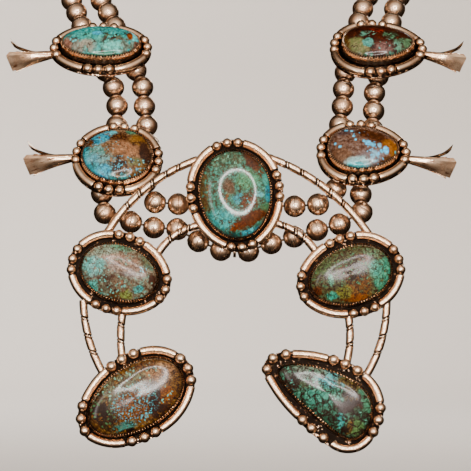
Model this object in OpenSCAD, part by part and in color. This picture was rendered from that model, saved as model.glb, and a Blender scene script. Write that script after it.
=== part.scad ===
// Squash blossom necklace: a crescent naja with five set stones, hung on two strands of round silver
// beads that carry four more stones, each with a trumpet-shaped blossom at its outer side.
// Millimetres and degrees. X runs across, Y back, Z up.
// Places are written from the middle of the naja's back, and the whole is then moved so that the
// origin is at the nape, midway between the two strands.

/* [Beads] */
// Diameter of a bead
bead_d = 7.5; // [7:0.1:7.5]
// Space left between two beads
bead_gap = 0.15; // [0.12:0.01:0.15]
// Hole drilled through a bead
hole_d = 2.2; // [2:0.1:2.4]
// Thickness of the thread
thread_d = 0.8; // [0.6:0.1:0.9]

/* [Settings] */
// Thickness of a back plate
plate_t = 0.8; // [0.6:0.1:1]
// How far a back plate reaches past the middle of its collar
plate_rim = 1.2; // [1:0.1:1.3]
// Thickness of the bezel's wall
bezel_t = 0.5; // [0.4:0.1:0.6]
// Height of the bezel above the plate
bezel_h = 3.6; // [3:0.1:3.8]
// Diameter of the half-round tubes of a collar
tube_d = 2.8; // [2.4:0.1:3]
// Diameter of the balls of a collar
ball_d = 3.2; // [2.8:0.1:3.2]
// Distance between the balls of a group
ball_pitch = 3.6; // [3.4:0.05:3.7]
// Height of a stone above its plate
stone_h = 6.3; // [5.5:0.1:7]
// Space between a stone and the metal round it
stone_gap = 0.16; // [0.08:0.01:0.2]

/* [Naja] */
// Diameter of the notched wires
wire_d = 2.7; // [2.4:0.1:2.8]
// How far the naja leans back from upright
naja_lean = 6; // [0:1:8]

/* [Bails] */
// Outside diameter of a bail
bail_d = 3.6; // [3.2:0.1:4]
// Bore of a bail
bail_bore = 2.0; // [1.8:0.1:2.4]
// Length of a bail on a blossom
bail_l = 3; // [2:0.5:4]
// Length of the bail behind the centre stone
centre_bail_l = 12; // [8:1:14]
// Bore of the thin eye under the centre stone
eye_bore = 2.6; // [2.4:0.1:2.8]
// Thickness of an eye
eye_t = 1.0; // [0.8:0.1:1]

/* [Blossoms] */
// Diameter of a trumpet at its neck
horn_neck = 3.5; // [3:0.1:4]
// Diameter of a trumpet's mouth without its petals
horn_mouth = 6.0; // [5:0.1:7]
// Thickness of a trumpet's wall
horn_wall = 0.7; // [0.5:0.1:0.9]

/* [Fit on the wearer] */
// Distance from the naja back to the nape
reach_back = 167; // [160:1:175]
// Height of the nape above the middle of the naja
reach_up = 118; // [112:1:124]
// Length of the clasp
clasp_l = 14; // [12:1:18]

/* [Hidden] */

silver = "#b9a08c";
sides = 40;
sunk = 0.25;
collar_z = plate_t + tube_d / 2 - sunk;
pitch = bead_d + bead_gap;

// Columns of a stone's row: place across and up, length, width, taper towards one end, turn,
// distance from the stone to the middle of its collar, the directions of the four groups of balls,
// how far the widest place is moved along and both ends aside, how far the collar's middle is moved
// across and up, how much wider the collar is than the stone calls for, and how many times the usual
// size its balls are
AT = 0;
LONG = 1;
WIDE = 2;
TAPER = 3;
TURN = 4;
GAP = 5;
BALLS = 6;
BEND = 7;
SHIFT = 8;
MORE = 9;
BALL = 10;

naja_rows = [
    [[0, 13.2], 29, 23.4, 0.06, 97, 3.0, [99, 12, -83, 184], [0, 0], [0, 0], 0, 1],
    [[-38.2, -12.7], 25.5, 18, 0.05, 162, 3.4, [74, -20, -110.5, 163], [0, 0], [0, 0], 0, 1],
    [[37.8, -13.5], 27.2, 18.6, 0.08, 18, 3.3, [106, 192.5, -69, 19], [0, 0], [0, 0], 0, 1],
    [[-32.8, -53.8], 34, 20.5, 0.08, 33, 2.8, [110, 29.5, -77, 201], [0, 0], [0, 0], 0, 1.13],
    [[30.0, -52.4], 34, 16.3, 0.13, -36, 3.6, [146.7, 53.8, -27.3, -110.1], [4.4, -2.6], [-0.8, 0.4], 0.8,
        1.13]
];

// Columns of a blossom's row: place of its plate's back, tilt back from upright, the stone's row, and
// the trumpet's direction, droop and length without petals
PLACE = 0;
TILT = 1;
STONE = 2;
HORN = 3;

blossom_rows = [
    [[-45.6, 37.0, 62.8], 47,
        [[0, 0], 26, 15, 0.03, -2, 2.9, [87, 2, -93, 180], [0, 0], [0, -1.35], 1.7, 1], [190, 7, 10.8]],
    [[48.4, 39.3, 62.9], 49,
        [[0, 0], 23.6, 17, 0.16, 178, 3.2, [97.6, -2, -87, 170], [0, 0], [0, -1.45], 2.6, 1], [-11, 8, 10]],
    [[-39.3, 11.3, 24.4], 37,
        [[0, 0], 23.1, 21.5, 0.03, 0, 2.3, [81, -6, -101, 168], [0, 0], [0, -0.1], 0.8, 1], [177, 9, 11.5]],
    [[42.5, 10.8, 26.6], 42,
        [[0, 0], 22.9, 18.6, 0.14, 176, 2.8, [92.5, 0, -91, 172], [0, 0], [0, -0.5], 0.8, 1], [-11, 9, 11.4]]
];

// Wires of the naja: an end, a point on the way and the other end, across and up
wire_rows = [
    [[-13.9, 24.5], [-29.2, 15.8], [-41.7, 1.7]],
    [[12.1, 25.3], [29.2, 15.9], [43.0, 1.6]],
    [[-13.3, 2.9], [-19.2, 0.4], [-24.9, -5.1]],
    [[14.1, 3.7], [20.1, 0.9], [25.7, -4.3]],
    [[-50.0, -23.1], [-48.3, -34.0], [-44.3, -44.2]],
    [[-37.3, -26.9], [-37.7, -34.1], [-37.1, -41.5]],
    [[37.3, -27.9], [37.6, -34.6], [36.7, -41.3]],
    [[49.7, -23.5], [48.2, -34.0], [43.9, -44.7]]
];
wire_into = 1.5;

// Beads that lie behind the naja, from the middle outwards: across, back, up
laid_inner_left = [[-11.2, 5.3, 10.2], [-18.9, 5.2, 10.4], [-26.6, 5.1, 11.0]];
laid_inner_right = [[11.9, 5.3, 9.8], [19.6, 5.2, 9.7], [27.3, 5.2, 10.3]];
laid_outer_left = [[-4.8, 3.9, -4.8], [-12.3, 4.0, -1.9], [-19.3, 4.4, 2.1], [-27.0, 4.5, 2.6],
    [-34.6, 4.5, 4.5]];
laid_outer_right = [[4.2, 3.9, -5.1], [11.8, 3.9, -2.6], [19.4, 4.0, -0.4], [27.0, 4.3, 1.8],
    [34.5, 4.6, 3.7]];

// Routes of the strands from the naja up to the nape: across, back, up
route_inner_left = [[-29.8, 11.5, 17.8], [-29.4, 16.2, 23.8], [-29.2, 21.1, 30.3], [-29.8, 25.3, 36.8],
    [-30.7, 29.1, 43.5], [-31.4, 32.8, 50.1], [-33.9, 37.3, 56.3], [-37.6, 44.2, 64.0],
    [-41.2, 52.0, 71.5], [-46.0, 62.0, 80.4], [-52.9, 77.0, 91.0], [-58.2, 98.0, 102.0],
    [-59.2, 119.0, 110.0], [-53.3, 138.5, 116.0], [-38.7, 153.5, 120.0], [-19.4, 161.5, 121.5],
    [0, 163.7, 121.8]];
route_outer_left = [[-43.3, 4.8, 7.4], [-44.4, 8.3, 13.5], [-43.3, 12.7, 19.5], [-41.8, 16.9, 25.2],
    [-40.6, 21.5, 31.3], [-39.9, 25.2, 37.1], [-39.9, 28.5, 43.4], [-41.2, 32.5, 49.8],
    [-44.3, 37.2, 56.2], [-48.7, 44.2, 64.0], [-52.8, 52.4, 71.8], [-56.2, 62.0, 80.2],
    [-60.9, 77.0, 89.5], [-65.0, 99.0, 98.8], [-65.7, 121.0, 105.5], [-59.2, 143.0, 110.5],
    [-43.6, 160.0, 113.4], [-22.4, 168.6, 114.4], [0, 170.6, 114.6]];
route_inner_right = [[33.3, 8.6, 15.4], [34.7, 14.2, 22.5], [35.1, 20.3, 30.0], [35.1, 25.6, 37.5],
    [36.0, 29.3, 43.2], [36.6, 34.4, 49.7], [37.5, 39.9, 56.2], [39.8, 47.5, 64.0], [42.4, 57.2, 73.3],
    [45.8, 68.0, 82.4], [52.1, 80.0, 92.0], [56.7, 99.5, 102.5], [57.4, 119.5, 110.0],
    [51.3, 138.5, 116.0], [37.2, 153.5, 120.0], [18.6, 161.5, 121.5], [0, 163.7, 121.8]];
route_outer_right = [[41.8, 4.8, 7.7], [41.6, 9.2, 13.2], [42.6, 13.5, 19.1], [44.1, 17.4, 25.1],
    [45.4, 21.0, 30.5], [46.0, 24.8, 36.0], [46.6, 28.9, 41.8], [47.0, 33.4, 48.0], [48.7, 38.8, 54.9],
    [51.3, 47.5, 64.0], [53.6, 57.0, 73.1], [56.6, 67.5, 82.2], [63.3, 80.0, 90.8], [68.5, 100.0, 99.2],
    [70.0, 121.0, 105.5], [63.5, 143.0, 110.5], [47.3, 160.0, 113.4], [24.3, 168.6, 114.4],
    [0, 170.6, 114.6]];

// Runs of beads on each route, with a bail after the first run and after the second: distance of a
// run's first bead from the route's start, how many beads, and distance of the bail
FIRST = 0;
COUNT = 1;
BAIL = 2;
runs_inner_left = [[0, 1, 10], [16, 5, 52], [62, 22]];
runs_outer_left = [[0, 3, 22], [28.7, 5, 67.4], [75.5, 23]];
runs_inner_right = [[0, 2, 14.3], [19.9, 5, 56], [61.5, 22]];
runs_outer_right = [[0, 3, 21.4], [27.2, 5, 63.6], [70, 24]];

// Middles of the bails on the naja's back: behind the centre stone and under it
centre_bail = [0, 5.3, 9.9];
centre_eye = [-0.3, 3.7, -5.2];

function turned(p, a) = [p.x * cos(a) - p.y * sin(a), p.x * sin(a) + p.y * cos(a)];

// Outline of a stone, or of what goes round it, at an angle of its own
function egg(row, grow, a) = row[AT] + turned([
    (row[LONG] / 2 + grow) * cos(a) + row[BEND][0] * sin(a) * sin(a),
    (row[WIDE] / 2 + grow) * sin(a) * (1 + row[TAPER] * cos(a)) + row[BEND][1] * cos(a) * cos(a)],
    row[TURN]);
function egg_outline(row, grow) = [for (i = [0:sides - 1]) egg(row, grow, i * 360 / sides)];

// The same outline's point in a direction that is seen from the stone's middle
function heading(v) = (atan2(v.y, v.x) + 360) % 360;
function seen_at(row, grow, a) = heading(turned(egg(row, grow, a) - row[AT], -row[TURN]));
function egg_towards(row, grow, seen) =
    let (first = seen_at(row, grow, 0), table = [for (a = [0:4:360])
        [a == 360 ? 360 : (seen_at(row, grow, a) - first + 360) % 360, a]])
    egg(row, grow, lookup((seen - row[TURN] - first + 720) % 360, table));

// Angle that a length takes up along the collar, seen from the collar's middle
function span(row, seen, length) = length / norm(egg_towards(row, row[GAP], seen) - row[AT]) * 180 / PI;

// A collar's own row
function collar(row) = [row[AT] + row[SHIFT], row[LONG], row[WIDE] + row[MORE],
    for (k = [TAPER:BEND]) row[k]];

// Middle of the circle through three points
function circle_middle(a, b, c) =
    let (p = b - a, q = c - a, k = 2 * (p.x * q.y - p.y * q.x), pp = p * p, qq = q * q)
    a + [q.y * pp - p.y * qq, p.x * qq - q.x * pp] / k;

// A smooth line through a route's points
function smooth(p, steps) = [for (i = [0:len(p) - 2]) for (j = [0:steps - 1])
    let (t = j / steps, a = p[max(i - 1, 0)], b = p[i], c = p[i + 1], d = p[min(i + 2, len(p) - 1)])
    0.5 * (2 * b + (c - a) * t + (2 * a - 5 * b + 4 * c - d) * t * t
        + (3 * b - a - 3 * c + d) * t * t * t), p[len(p) - 1]];
function lengths(p) = [for (i = 0, s = 0; i < len(p);
    s = s + (i + 1 < len(p) ? norm(p[i + 1] - p[i]) : 0), i = i + 1) s];
function measured(p) = let (s = lengths(p))
    [for (k = [0:2]) [for (i = [0:len(p) - 1]) [s[i], p[i][k]]]];
function along(line, s) = [for (k = [0:2]) lookup(s, line[k])];
function way_along(line, s) = let (d = along(line, s + 0.5) - along(line, s - 0.5)) d / norm(d);

line_inner_left = measured(smooth(route_inner_left, 8));
line_outer_left = measured(smooth(route_outer_left, 8));
line_inner_right = measured(smooth(route_inner_right, 8));
line_outer_right = measured(smooth(route_outer_right, 8));
lines_left = [line_inner_left, line_outer_left];
lines_right = [line_inner_right, line_outer_right];
runs_left = [runs_inner_left, runs_outer_left];
runs_right = [runs_inner_right, runs_outer_right];
function bails_of(runs, k) = [for (r = runs) r[k][BAIL]];

// What a strand's thread goes through, from the naja to the nape: middle, and whether it is a bead
function beads_of(line, run) = [for (i = [0:run[COUNT] - 1]) [along(line, run[FIRST] + i * pitch), true]];
function strand(laid, line, runs) = concat([for (p = laid) [p, true]],
    beads_of(line, runs[0]), [[along(line, runs[0][BAIL]), false]],
    beads_of(line, runs[1]), [[along(line, runs[1][BAIL]), false]], beads_of(line, runs[2]));
strand_inner_left = strand(laid_inner_left, line_inner_left, runs_inner_left);
strand_outer_left = strand(laid_outer_left, line_outer_left, runs_outer_left);
strand_inner_right = strand(laid_inner_right, line_inner_right, runs_inner_right);
strand_outer_right = strand(laid_outer_right, line_outer_right, runs_outer_right);

function middles(strand) = [for (s = strand) s[0]];
function reversed(p) = [for (i = [len(p) - 1:-1:0]) p[i]];
function unit(v) = v / norm(v);

// Brings what was drawn at the middle of the naja's back to the nape
module hung() {
    translate([0, -reach_back, -reach_up]) children();
}

// Turns Z towards a direction
module towards(v) {
    rotate([0, acos(v.z / norm(v)), atan2(v.y, v.x)]) children();
}

// A round tube bent to the circle through three points, a little longer at both ends
module bent(a, b, c, d, more) {
    m = circle_middle(a, b, c);
    r = norm(a - m);
    way = ((b - a).x * (c - b).y - (b - a).y * (c - b).x) > 0 ? 1 : -1;
    from = atan2((way > 0 ? a : c).y - m.y, (way > 0 ? a : c).x - m.x);
    to = atan2((way > 0 ? c : a).y - m.y, (way > 0 ? c : a).x - m.x);
    extra = more / r * 180 / PI;
    sweep = (to - from + 720) % 360 + 2 * extra;
    translate([m.x, m.y, 0]) rotate([0, 0, from - extra])
        rotate_extrude(angle = sweep, $fn = 180) translate([r, 0]) circle(d = d, $fn = 32);
}

// A setting's metal: plate, bezel, and the collar of balls and tubes
module setting(row) {
    round = collar(row);
    ball = ball_d * row[BALL];
    apart = ball_pitch * row[BALL];
    linear_extrude(plate_t) polygon(egg_outline(round, round[GAP] + plate_rim));
    translate([0, 0, plate_t - sunk]) linear_extrude(bezel_h + sunk) difference() {
        polygon(egg_outline(row, stone_gap + bezel_t));
        polygon(egg_outline(row, stone_gap));
    }
    for (seen = round[BALLS]) for (i = [-1:1]) {
        p = egg_towards(round, round[GAP], seen + i * span(round, seen, apart));
        translate([p.x, p.y, plate_t + ball / 2 - sunk]) sphere(d = ball, $fn = 48);
    }
    clear = 1.5 * apart + 0.15;
    sorted = [for (a = [0:359]) for (g = round[BALLS]) if (floor((g + 720) % 360) == a)
        (g + 720) % 360];
    for (i = [0:3]) {
        from = sorted[i] + span(round, sorted[i], clear);
        next = sorted[(i + 1) % 4] + (i == 3 ? 360 : 0);
        to = next - span(round, next, clear);
        ends = [for (seen = [from, (from + to) / 2, to]) egg_towards(round, round[GAP], seen)];
        translate([0, 0, collar_z]) bent(ends[0], ends[1], ends[2], tube_d, 0);
    }
}

// A cabochon: upright girdle, then a dome in steps of share of the outline and height
module cabochon(row) {
    steps = [[1, 0], [1, 0.54], [0.965, 0.67], [0.86, 0.81], [0.68, 0.91], [0.4, 0.98]];
    h = stone_h - stone_gap;
    rim = egg_outline(row, 0);
    n = len(steps);
    points = concat([for (s = steps) for (p = rim)
        let (q = row[AT] + (p - row[AT]) * s[0]) [q.x, q.y, s[1] * h]], [[row[AT].x, row[AT].y, h]]);
    faces = concat([[for (i = [0:sides - 1]) i]],
        [for (k = [0:n - 2]) for (i = [0:sides - 1]) let (j = (i + 1) % sides)
            [k * sides + i, (k + 1) * sides + i, (k + 1) * sides + j, k * sides + j]],
        [for (i = [0:sides - 1]) [(n - 1) * sides + i, n * sides, (n - 1) * sides + (i + 1) % sides]]);
    translate([0, 0, plate_t + stone_gap]) polyhedron(points, faces, convexity = 4);
}

// Brings a naja piece from its flat back plane to its lean
module on_naja() {
    hung() rotate([90 - naja_lean, 0, 0]) children();
}

// A bail: a tube on the thread, joined by a web to the plate in front of it
module bail_body(p, length, d, web_up) {
    translate(p) rotate([0, 90, 0]) cylinder(d = d, h = length, center = true, $fn = 48);
    translate([p.x - length / 2, p.y + web_up - 1, p.z]) cube([length, 2, sunk - p.z]);
}

module naja() {
    upright = [[1, 0, 0], [0, sin(naja_lean), cos(naja_lean)], [0, -cos(naja_lean), sin(naja_lean)]];
    color(silver) on_naja() difference() {
        union() {
            for (row = naja_rows) setting(row);
            for (w = wire_rows)
                translate([0, 0, wire_d / 2]) bent(w[0], w[1], w[2], wire_d, wire_into);
            bail_body(upright * centre_bail, centre_bail_l, bail_d, 0);
            bail_body(upright * centre_eye, eye_t, eye_bore + 1.6, 1.1);
        }
        translate(upright * centre_bail) rotate([0, 90, 0])
            cylinder(d = bail_bore, h = centre_bail_l + 2, center = true, $fn = 32);
        translate(upright * centre_eye) rotate([0, 90, 0])
            cylinder(d = eye_bore, h = eye_t + 2, center = true, $fn = 32);
    }
}

module naja_stone(i, tint) {
    color(tint) on_naja() cabochon(naja_rows[i]);
}

// Brings a blossom's piece from its flat back plane to its place
module on_blossom(i) {
    hung() translate(blossom_rows[i][PLACE]) rotate([90 - blossom_rows[i][TILT], 0, 0]) children();
}

// Petals of a trumpet: direction, half its width, how far it reaches past the mouth, how far it
// curls out
petals = [[90, 50, 3.6, 4.2], [202, 66, 4.6, 1.5], [285, 40, 2.3, 1.9], [0, 55, 3.2, 1.6]];
function petal_share(seen, petal) =
    let (away = abs((seen - petal[0] + 540) % 360 - 180) / petal[1]) away < 1 ? sqrt(cos(90 * away)) : 0;

// Wall of a trumpet at a share of its length and an angle, outside or inside
function horn_point(length, share, seen, wall) =
    let (
        lip = max(0, share - 0.6) / 0.4,
        reach = max([for (p = petals) petal_share(seen, p) * p[2]]),
        curl = max([for (p = petals) petal_share(seen, p) * p[3]]),
        r = horn_neck / 2 + (horn_mouth - horn_neck) / 2 * pow(share, 1.2) + curl * lip * lip - wall
    ) [length * share + reach * lip * lip, r * cos(seen), r * sin(seen)];

module horn(length) {
    n = 24;
    outer = [0, 0.3, 0.6, 0.7, 0.8, 0.9, 1];
    inner = [1, 0.9, 0.8, 0.7, 0.6];
    rings = concat([for (s = outer) [for (i = [0:n - 1]) horn_point(length, s, i * 360 / n, 0)]],
        [for (s = inner) [for (i = [0:n - 1]) horn_point(length, s, i * 360 / n, horn_wall)]]);
    m = len(rings);
    points = [for (r = rings) for (p = r) p];
    faces = concat([[for (i = [0:n - 1]) i]],
        [for (k = [0:m - 2]) for (i = [0:n - 1]) let (j = (i + 1) % n)
            each [[k * n + i, (k + 1) * n + i, k * n + j], [k * n + j, (k + 1) * n + i, (k + 1) * n + j]]],
        [[for (i = [n - 1:-1:0]) (m - 1) * n + i]]);
    polyhedron(points, faces, convexity = 6);
}

module blossom(i, lines, bails) {
    row = blossom_rows[i];
    round = collar(row[STONE]);
    side = row[PLACE].x < 0 ? -1 : 1;
    t = row[TILT];
    to_plate = [[1, 0, 0], [0, sin(t), cos(t)], [0, -cos(t), sin(t)]];
    middles = [for (k = [0, 1]) to_plate * (along(lines[k], bails[k]) - row[PLACE])];
    ways = [for (k = [0, 1]) to_plate * way_along(lines[k], bails[k])];
    root = egg_towards(round, round[GAP], row[HORN][0]);
    color(silver) on_blossom(i) difference() {
        union() {
            setting(row[STONE]);
            for (k = [0, 1]) {
                p = middles[k];
                translate(p) towards(ways[k]) cylinder(d = bail_d, h = bail_l, center = true, $fn = 48);
                translate([p.x - 1, p.y - 1, p.z]) cube([2, 2, sunk - p.z]);
            }
            translate([root.x, root.y, plate_t + 0.9]) rotate([t - 90, 0, 0])
                rotate([0, side * row[HORN][1], 0]) mirror([side < 0 ? 1 : 0, 0, 0])
                horn(row[HORN][2]);
        }
        for (k = [0, 1]) translate(middles[k]) towards(ways[k])
            cylinder(d = bail_bore, h = bail_l + 2, center = true, $fn = 32);
    }
}

module blossom_stone(i, tint) {
    color(tint) on_blossom(i) cabochon(blossom_rows[i][STONE]);
}

// A bead with a hole from one neighbour's direction to the other's: straight, or two holes that meet
// in a round hollow where the strand turns sharply
module bead(from, to) {
    if (from * to > cos(20))
        towards(from + to) difference() {
            sphere(d = bead_d, $fn = 48);
            cylinder(d = hole_d, h = bead_d + 2, center = true, $fn = 24);
        }
    else
        difference() {
            towards(to) difference() {
                sphere(d = bead_d, $fn = 48);
                sphere(d = hole_d + 1.2, $fn = 48);
                cylinder(d = hole_d, h = bead_d, $fn = 24);
            }
            towards(-from) cylinder(d = hole_d, h = bead_d, $fn = 24);
        }
}

module beads(strand, before, after) {
    p = concat([before], middles(strand), [after]);
    color(silver) hung() for (i = [0:len(strand) - 1]) if (strand[i][1])
        translate(p[i + 1]) bead(unit(p[i + 1] - p[i]), unit(p[i + 2] - p[i + 1]));
}

// The whole way of a thread: out from the middle of the naja, round the right side and back on the left
function closed_thread(left, right, middle, nape) = concat([middle], middles(right),
    [nape + [clasp_l / 2, 0, 0], nape - [clasp_l / 2, 0, 0]], reversed(middles(left)));

// A round thread swept along a closed line
module thread(p) {
    n = 6;
    m = len(p);
    points = [for (i = [0:m - 1])
        let (w = unit(unit(p[(i + 1) % m] - p[i]) + unit(p[i] - p[(i + m - 1) % m])),
            u = unit(cross(w, [0, 0.3, 1])), v = cross(w, u))
        for (j = [0:n - 1]) p[i] + thread_d / 2 * (u * cos(j * 360 / n) + v * sin(j * 360 / n))];
    faces = [for (i = [0:m - 1]) for (j = [0:n - 1])
        let (a = i * n, b = (i + 1) % m * n, k = (j + 1) % n)
        each [[a + j, b + j, a + k], [a + k, b + j, b + k]]];
    color("#5a4a3a") hung() polyhedron(points, faces, convexity = 10);
}

clasp_inner = route_inner_left[len(route_inner_left) - 1];
clasp_outer = route_outer_left[len(route_outer_left) - 1];

module clasp() {
    web = clasp_outer - clasp_inner;
    color(silver) hung() difference() {
        union() {
            for (p = [clasp_inner, clasp_outer]) translate(p) rotate([0, 90, 0])
                cylinder(d = bail_d + 1, h = clasp_l, center = true, $fn = 48);
            translate(clasp_inner) rotate([atan2(web.z, web.y), 0, 0]) translate([-clasp_l / 2 + 2, 0, -1])
                cube([clasp_l - 4, norm(web), 2]);
        }
        for (p = [clasp_inner, clasp_outer]) translate(p) rotate([0, 90, 0])
            cylinder(d = bail_bore, h = clasp_l + 2, center = true, $fn = 32);
    }
}

naja();
naja_stone(0, "#4f9a8f");  // stone_centre
naja_stone(1, "#6fb5b0");  // stone_left
naja_stone(2, "#5a9c94");  // stone_right
naja_stone(3, "#7d6a45");  // stone_lower_left
naja_stone(4, "#5c9a86");  // stone_lower_right
blossom(0, lines_left, bails_of(runs_left, 1));  // blossom_upper_left
blossom(1, lines_right, bails_of(runs_right, 1));  // blossom_upper_right
blossom(2, lines_left, bails_of(runs_left, 0));  // blossom_lower_left
blossom(3, lines_right, bails_of(runs_right, 0));  // blossom_lower_right
blossom_stone(0, "#4f8a86");  // blossom_stone_upper_left
blossom_stone(1, "#5b4a36");  // blossom_stone_upper_right
blossom_stone(2, "#3fa7b5");  // blossom_stone_lower_left
blossom_stone(3, "#7a5a44");  // blossom_stone_lower_right
beads(strand_inner_left, centre_bail, clasp_inner);  // beads_inner_left
beads(strand_outer_left, centre_eye, clasp_outer);  // beads_outer_left
beads(strand_inner_right, centre_bail, clasp_inner);  // beads_inner_right
beads(strand_outer_right, centre_eye, clasp_outer);  // beads_outer_right
thread(closed_thread(strand_inner_left, strand_inner_right, centre_bail, clasp_inner));  // thread_inner
thread(closed_thread(strand_outer_left, strand_outer_right, centre_eye, clasp_outer));  // thread_outer
clasp();
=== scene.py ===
import math

import bmesh
import bpy
from mathutils import Matrix, Vector, noise
from mathutils.bvhtree import BVHTree


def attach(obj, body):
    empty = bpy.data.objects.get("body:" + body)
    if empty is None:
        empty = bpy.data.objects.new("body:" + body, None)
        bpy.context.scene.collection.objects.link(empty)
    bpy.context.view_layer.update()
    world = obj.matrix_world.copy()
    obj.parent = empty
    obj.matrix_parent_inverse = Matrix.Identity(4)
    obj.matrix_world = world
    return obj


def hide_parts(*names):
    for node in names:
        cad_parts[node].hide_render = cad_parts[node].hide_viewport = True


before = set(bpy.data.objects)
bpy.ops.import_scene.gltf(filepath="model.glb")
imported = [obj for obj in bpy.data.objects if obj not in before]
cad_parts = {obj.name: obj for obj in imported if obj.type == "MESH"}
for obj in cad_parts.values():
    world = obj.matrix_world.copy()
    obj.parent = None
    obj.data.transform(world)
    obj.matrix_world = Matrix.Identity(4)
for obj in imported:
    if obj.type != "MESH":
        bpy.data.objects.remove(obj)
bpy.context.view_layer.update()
print("frame loaded")

# Everything below is drawn in millimetres on a setting's own back plane and then brought to its place.
mm = 0.001
hung = Matrix.Translation((0, -0.167, -0.118)) @ Matrix.Scale(mm, 4)  # where all places are counted from
najaLean = 6  # degrees
najaPlace = hung @ Matrix.Rotation(math.radians(90 - najaLean), 4, "X")

metalWork = {"plate": 0.8, "plateRim": 1.2, "plateEdge": 0.18, "tube": 2.8, "ball": 3.25, "ballPitch": 3.6,
             "sunk": 0.25, "toothPitch": 0.8, "toothDepth": 0.6, "bezelTop": 4.4, "bezelFoot": 0.66,
             "bezelInner": 0.16, "bezelWall": 0.4, "toothLean": 0.36, "cutEdge": 0.14, "webTop": 0.25,
             "tubeSides": 20, "tubeStep": 0.7, "tubeWave": 0.03, "ballAround": 24, "ballRows": 16,
             "ballWave": 0.02}


# A stone's outline, the gap to the middle of its collar, the directions of the groups of three balls, how the
# outline is bent, how far the collar is shifted and widened against it, and the size of the balls
def setting(at, long, wide, taper, turn, gap, balls, bend=(0, 0), shift=(0, 0), more=0, ball=1):
    return {"at": at, "long": long, "wide": wide, "taper": taper, "turn": turn, "gap": gap, "balls": balls,
            "bend": bend, "shift": shift, "more": more, "ball": ball}


najaSettings = {
    "stone_centre": setting(at=(0, 13.2), long=29, wide=23.4, taper=0.06, turn=97, gap=3.0,
                            balls=(99, 12, -83, 184)),
    "stone_left": setting(at=(-38.2, -12.7), long=25.5, wide=18, taper=0.05, turn=162, gap=3.4,
                          balls=(74, -20, -110.5, 163)),
    "stone_right": setting(at=(37.8, -13.5), long=27.2, wide=18.6, taper=0.08, turn=18, gap=3.3,
                           balls=(106, 192.5, -69, 19)),
    "stone_lower_left": setting(at=(-32.8, -53.8), long=34, wide=20.5, taper=0.08, turn=33, gap=2.8,
                                balls=(110, 29.5, -77, 201), ball=1.13),
    "stone_lower_right": setting(at=(30.0, -52.4), long=34, wide=16.3, taper=0.13, turn=-36, gap=3.6,
                                 balls=(146.7, 53.8, -27.3, -110.1), bend=(4.4, -2.6), shift=(-0.8, 0.4),
                                 more=0.8, ball=1.13),
}

# Each blossom: place and tilt of its back plane, its stone, its trumpet and its two bails
blossoms = {
    "upper_left": {
        "place": (-45.6, 37.0, 62.8), "tilt": 47,
        "stone": setting(at=(0, 0), long=26, wide=15, taper=0.03, turn=-2, gap=2.9,
                         balls=(87, 2, -93, 180), shift=(0, -1.35), more=1.7),
        "horn": {"root": (-15.294, -4.045), "droop": 9, "length": 16.4},
        "bails": (((10.006, 0.489, -4.437), (-0.341, 0.936, 0.087)),
                  ((-1.643, 2.528, -4.257), (-0.389, 0.919, 0.069)))},
    "upper_right": {
        "place": (48.4, 39.3, 62.9), "tilt": 49,
        "stone": setting(at=(0, 0), long=23.6, wide=17, taper=0.16, turn=178, gap=3.2,
                         balls=(97.6, -2, -87, 170), shift=(0, -1.45), more=2.6),
        "horn": {"root": (14.570, -4.282), "droop": 12, "length": 15.0},
        "bails": (((-10.066, 0.226, -5.040), (0.216, 0.973, 0.083)),
                  ((1.282, -0.960, -5.188), (0.207, 0.974, 0.093)))},
    "lower_left": {
        "place": (-39.3, 11.3, 24.4), "tilt": 37,
        "stone": setting(at=(0, 0), long=23.1, wide=21.5, taper=0.03, turn=0, gap=2.3,
                         balls=(81, -6, -101, 168), shift=(0, -0.1), more=0.8),
        "horn": {"root": (-13.829, 0.625), "droop": 8.3, "length": 17.2},
        "bails": (((9.997, 4.835, -4.302), (0.041, 0.999, -0.012)),
                  ((-2.483, 4.105, -3.991), (0.182, 0.983, 0.002)))},
    "lower_right": {
        "place": (42.5, 10.8, 26.6), "tilt": 42,
        "stone": setting(at=(0, 0), long=22.9, wide=18.6, taper=0.14, turn=176, gap=2.8,
                         balls=(92.5, 0, -91, 172), shift=(0, -0.5), more=0.8),
        "horn": {"root": (13.911, -3.203), "droop": 10.5, "length": 16.75},
        "bails": (((-7.503, 4.361, -5.045), (0.031, 0.999, 0.042)),
                  ((1.531, 2.977, -5.959), (0.206, 0.967, 0.151)))},
}


def blossomPlace(row):
    return hung @ Matrix.Translation(row["place"]) @ Matrix.Rotation(math.radians(90 - row["tilt"]), 4, "X")


def turned(x, y, degrees):
    a = math.radians(degrees)
    return x * math.cos(a) - y * math.sin(a), x * math.sin(a) + y * math.cos(a)


def eggPoint(row, grow, degrees, share=1.0):
    a = math.radians(degrees)
    x = (row["long"] / 2 + grow) * math.cos(a) + row["bend"][0] * math.sin(a) ** 2
    y = ((row["wide"] / 2 + grow) * math.sin(a) * (1 + row["taper"] * math.cos(a))
         + row["bend"][1] * math.cos(a) ** 2)
    x, y = turned(x, y, row["turn"])
    return row["at"][0] + x * share, row["at"][1] + y * share


def eggTowards(row, grow, seen):
    def heading(a):
        x, y = eggPoint(row, grow, a)
        x, y = turned(x - row["at"][0], y - row["at"][1], -row["turn"])
        return math.degrees(math.atan2(y, x))

    start = heading(0)
    want = (seen - row["turn"] - start) % 360
    last = 0.0
    for a in range(4, 361, 4):
        here = 360.0 if a == 360 else (heading(a) - start) % 360
        if last <= want <= here:
            return Vector(eggPoint(row, grow, a - 4 + 4 * (want - last) / (here - last)))
        last = here


def collarOf(row):
    return dict(row, at=(row["at"][0] + row["shift"][0], row["at"][1] + row["shift"][1]),
                wide=row["wide"] + row["more"])


def spanOf(row, seen, length):
    reach = (eggTowards(row, row["gap"], seen) - Vector(row["at"])).length
    return math.degrees(length / reach)


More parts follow.
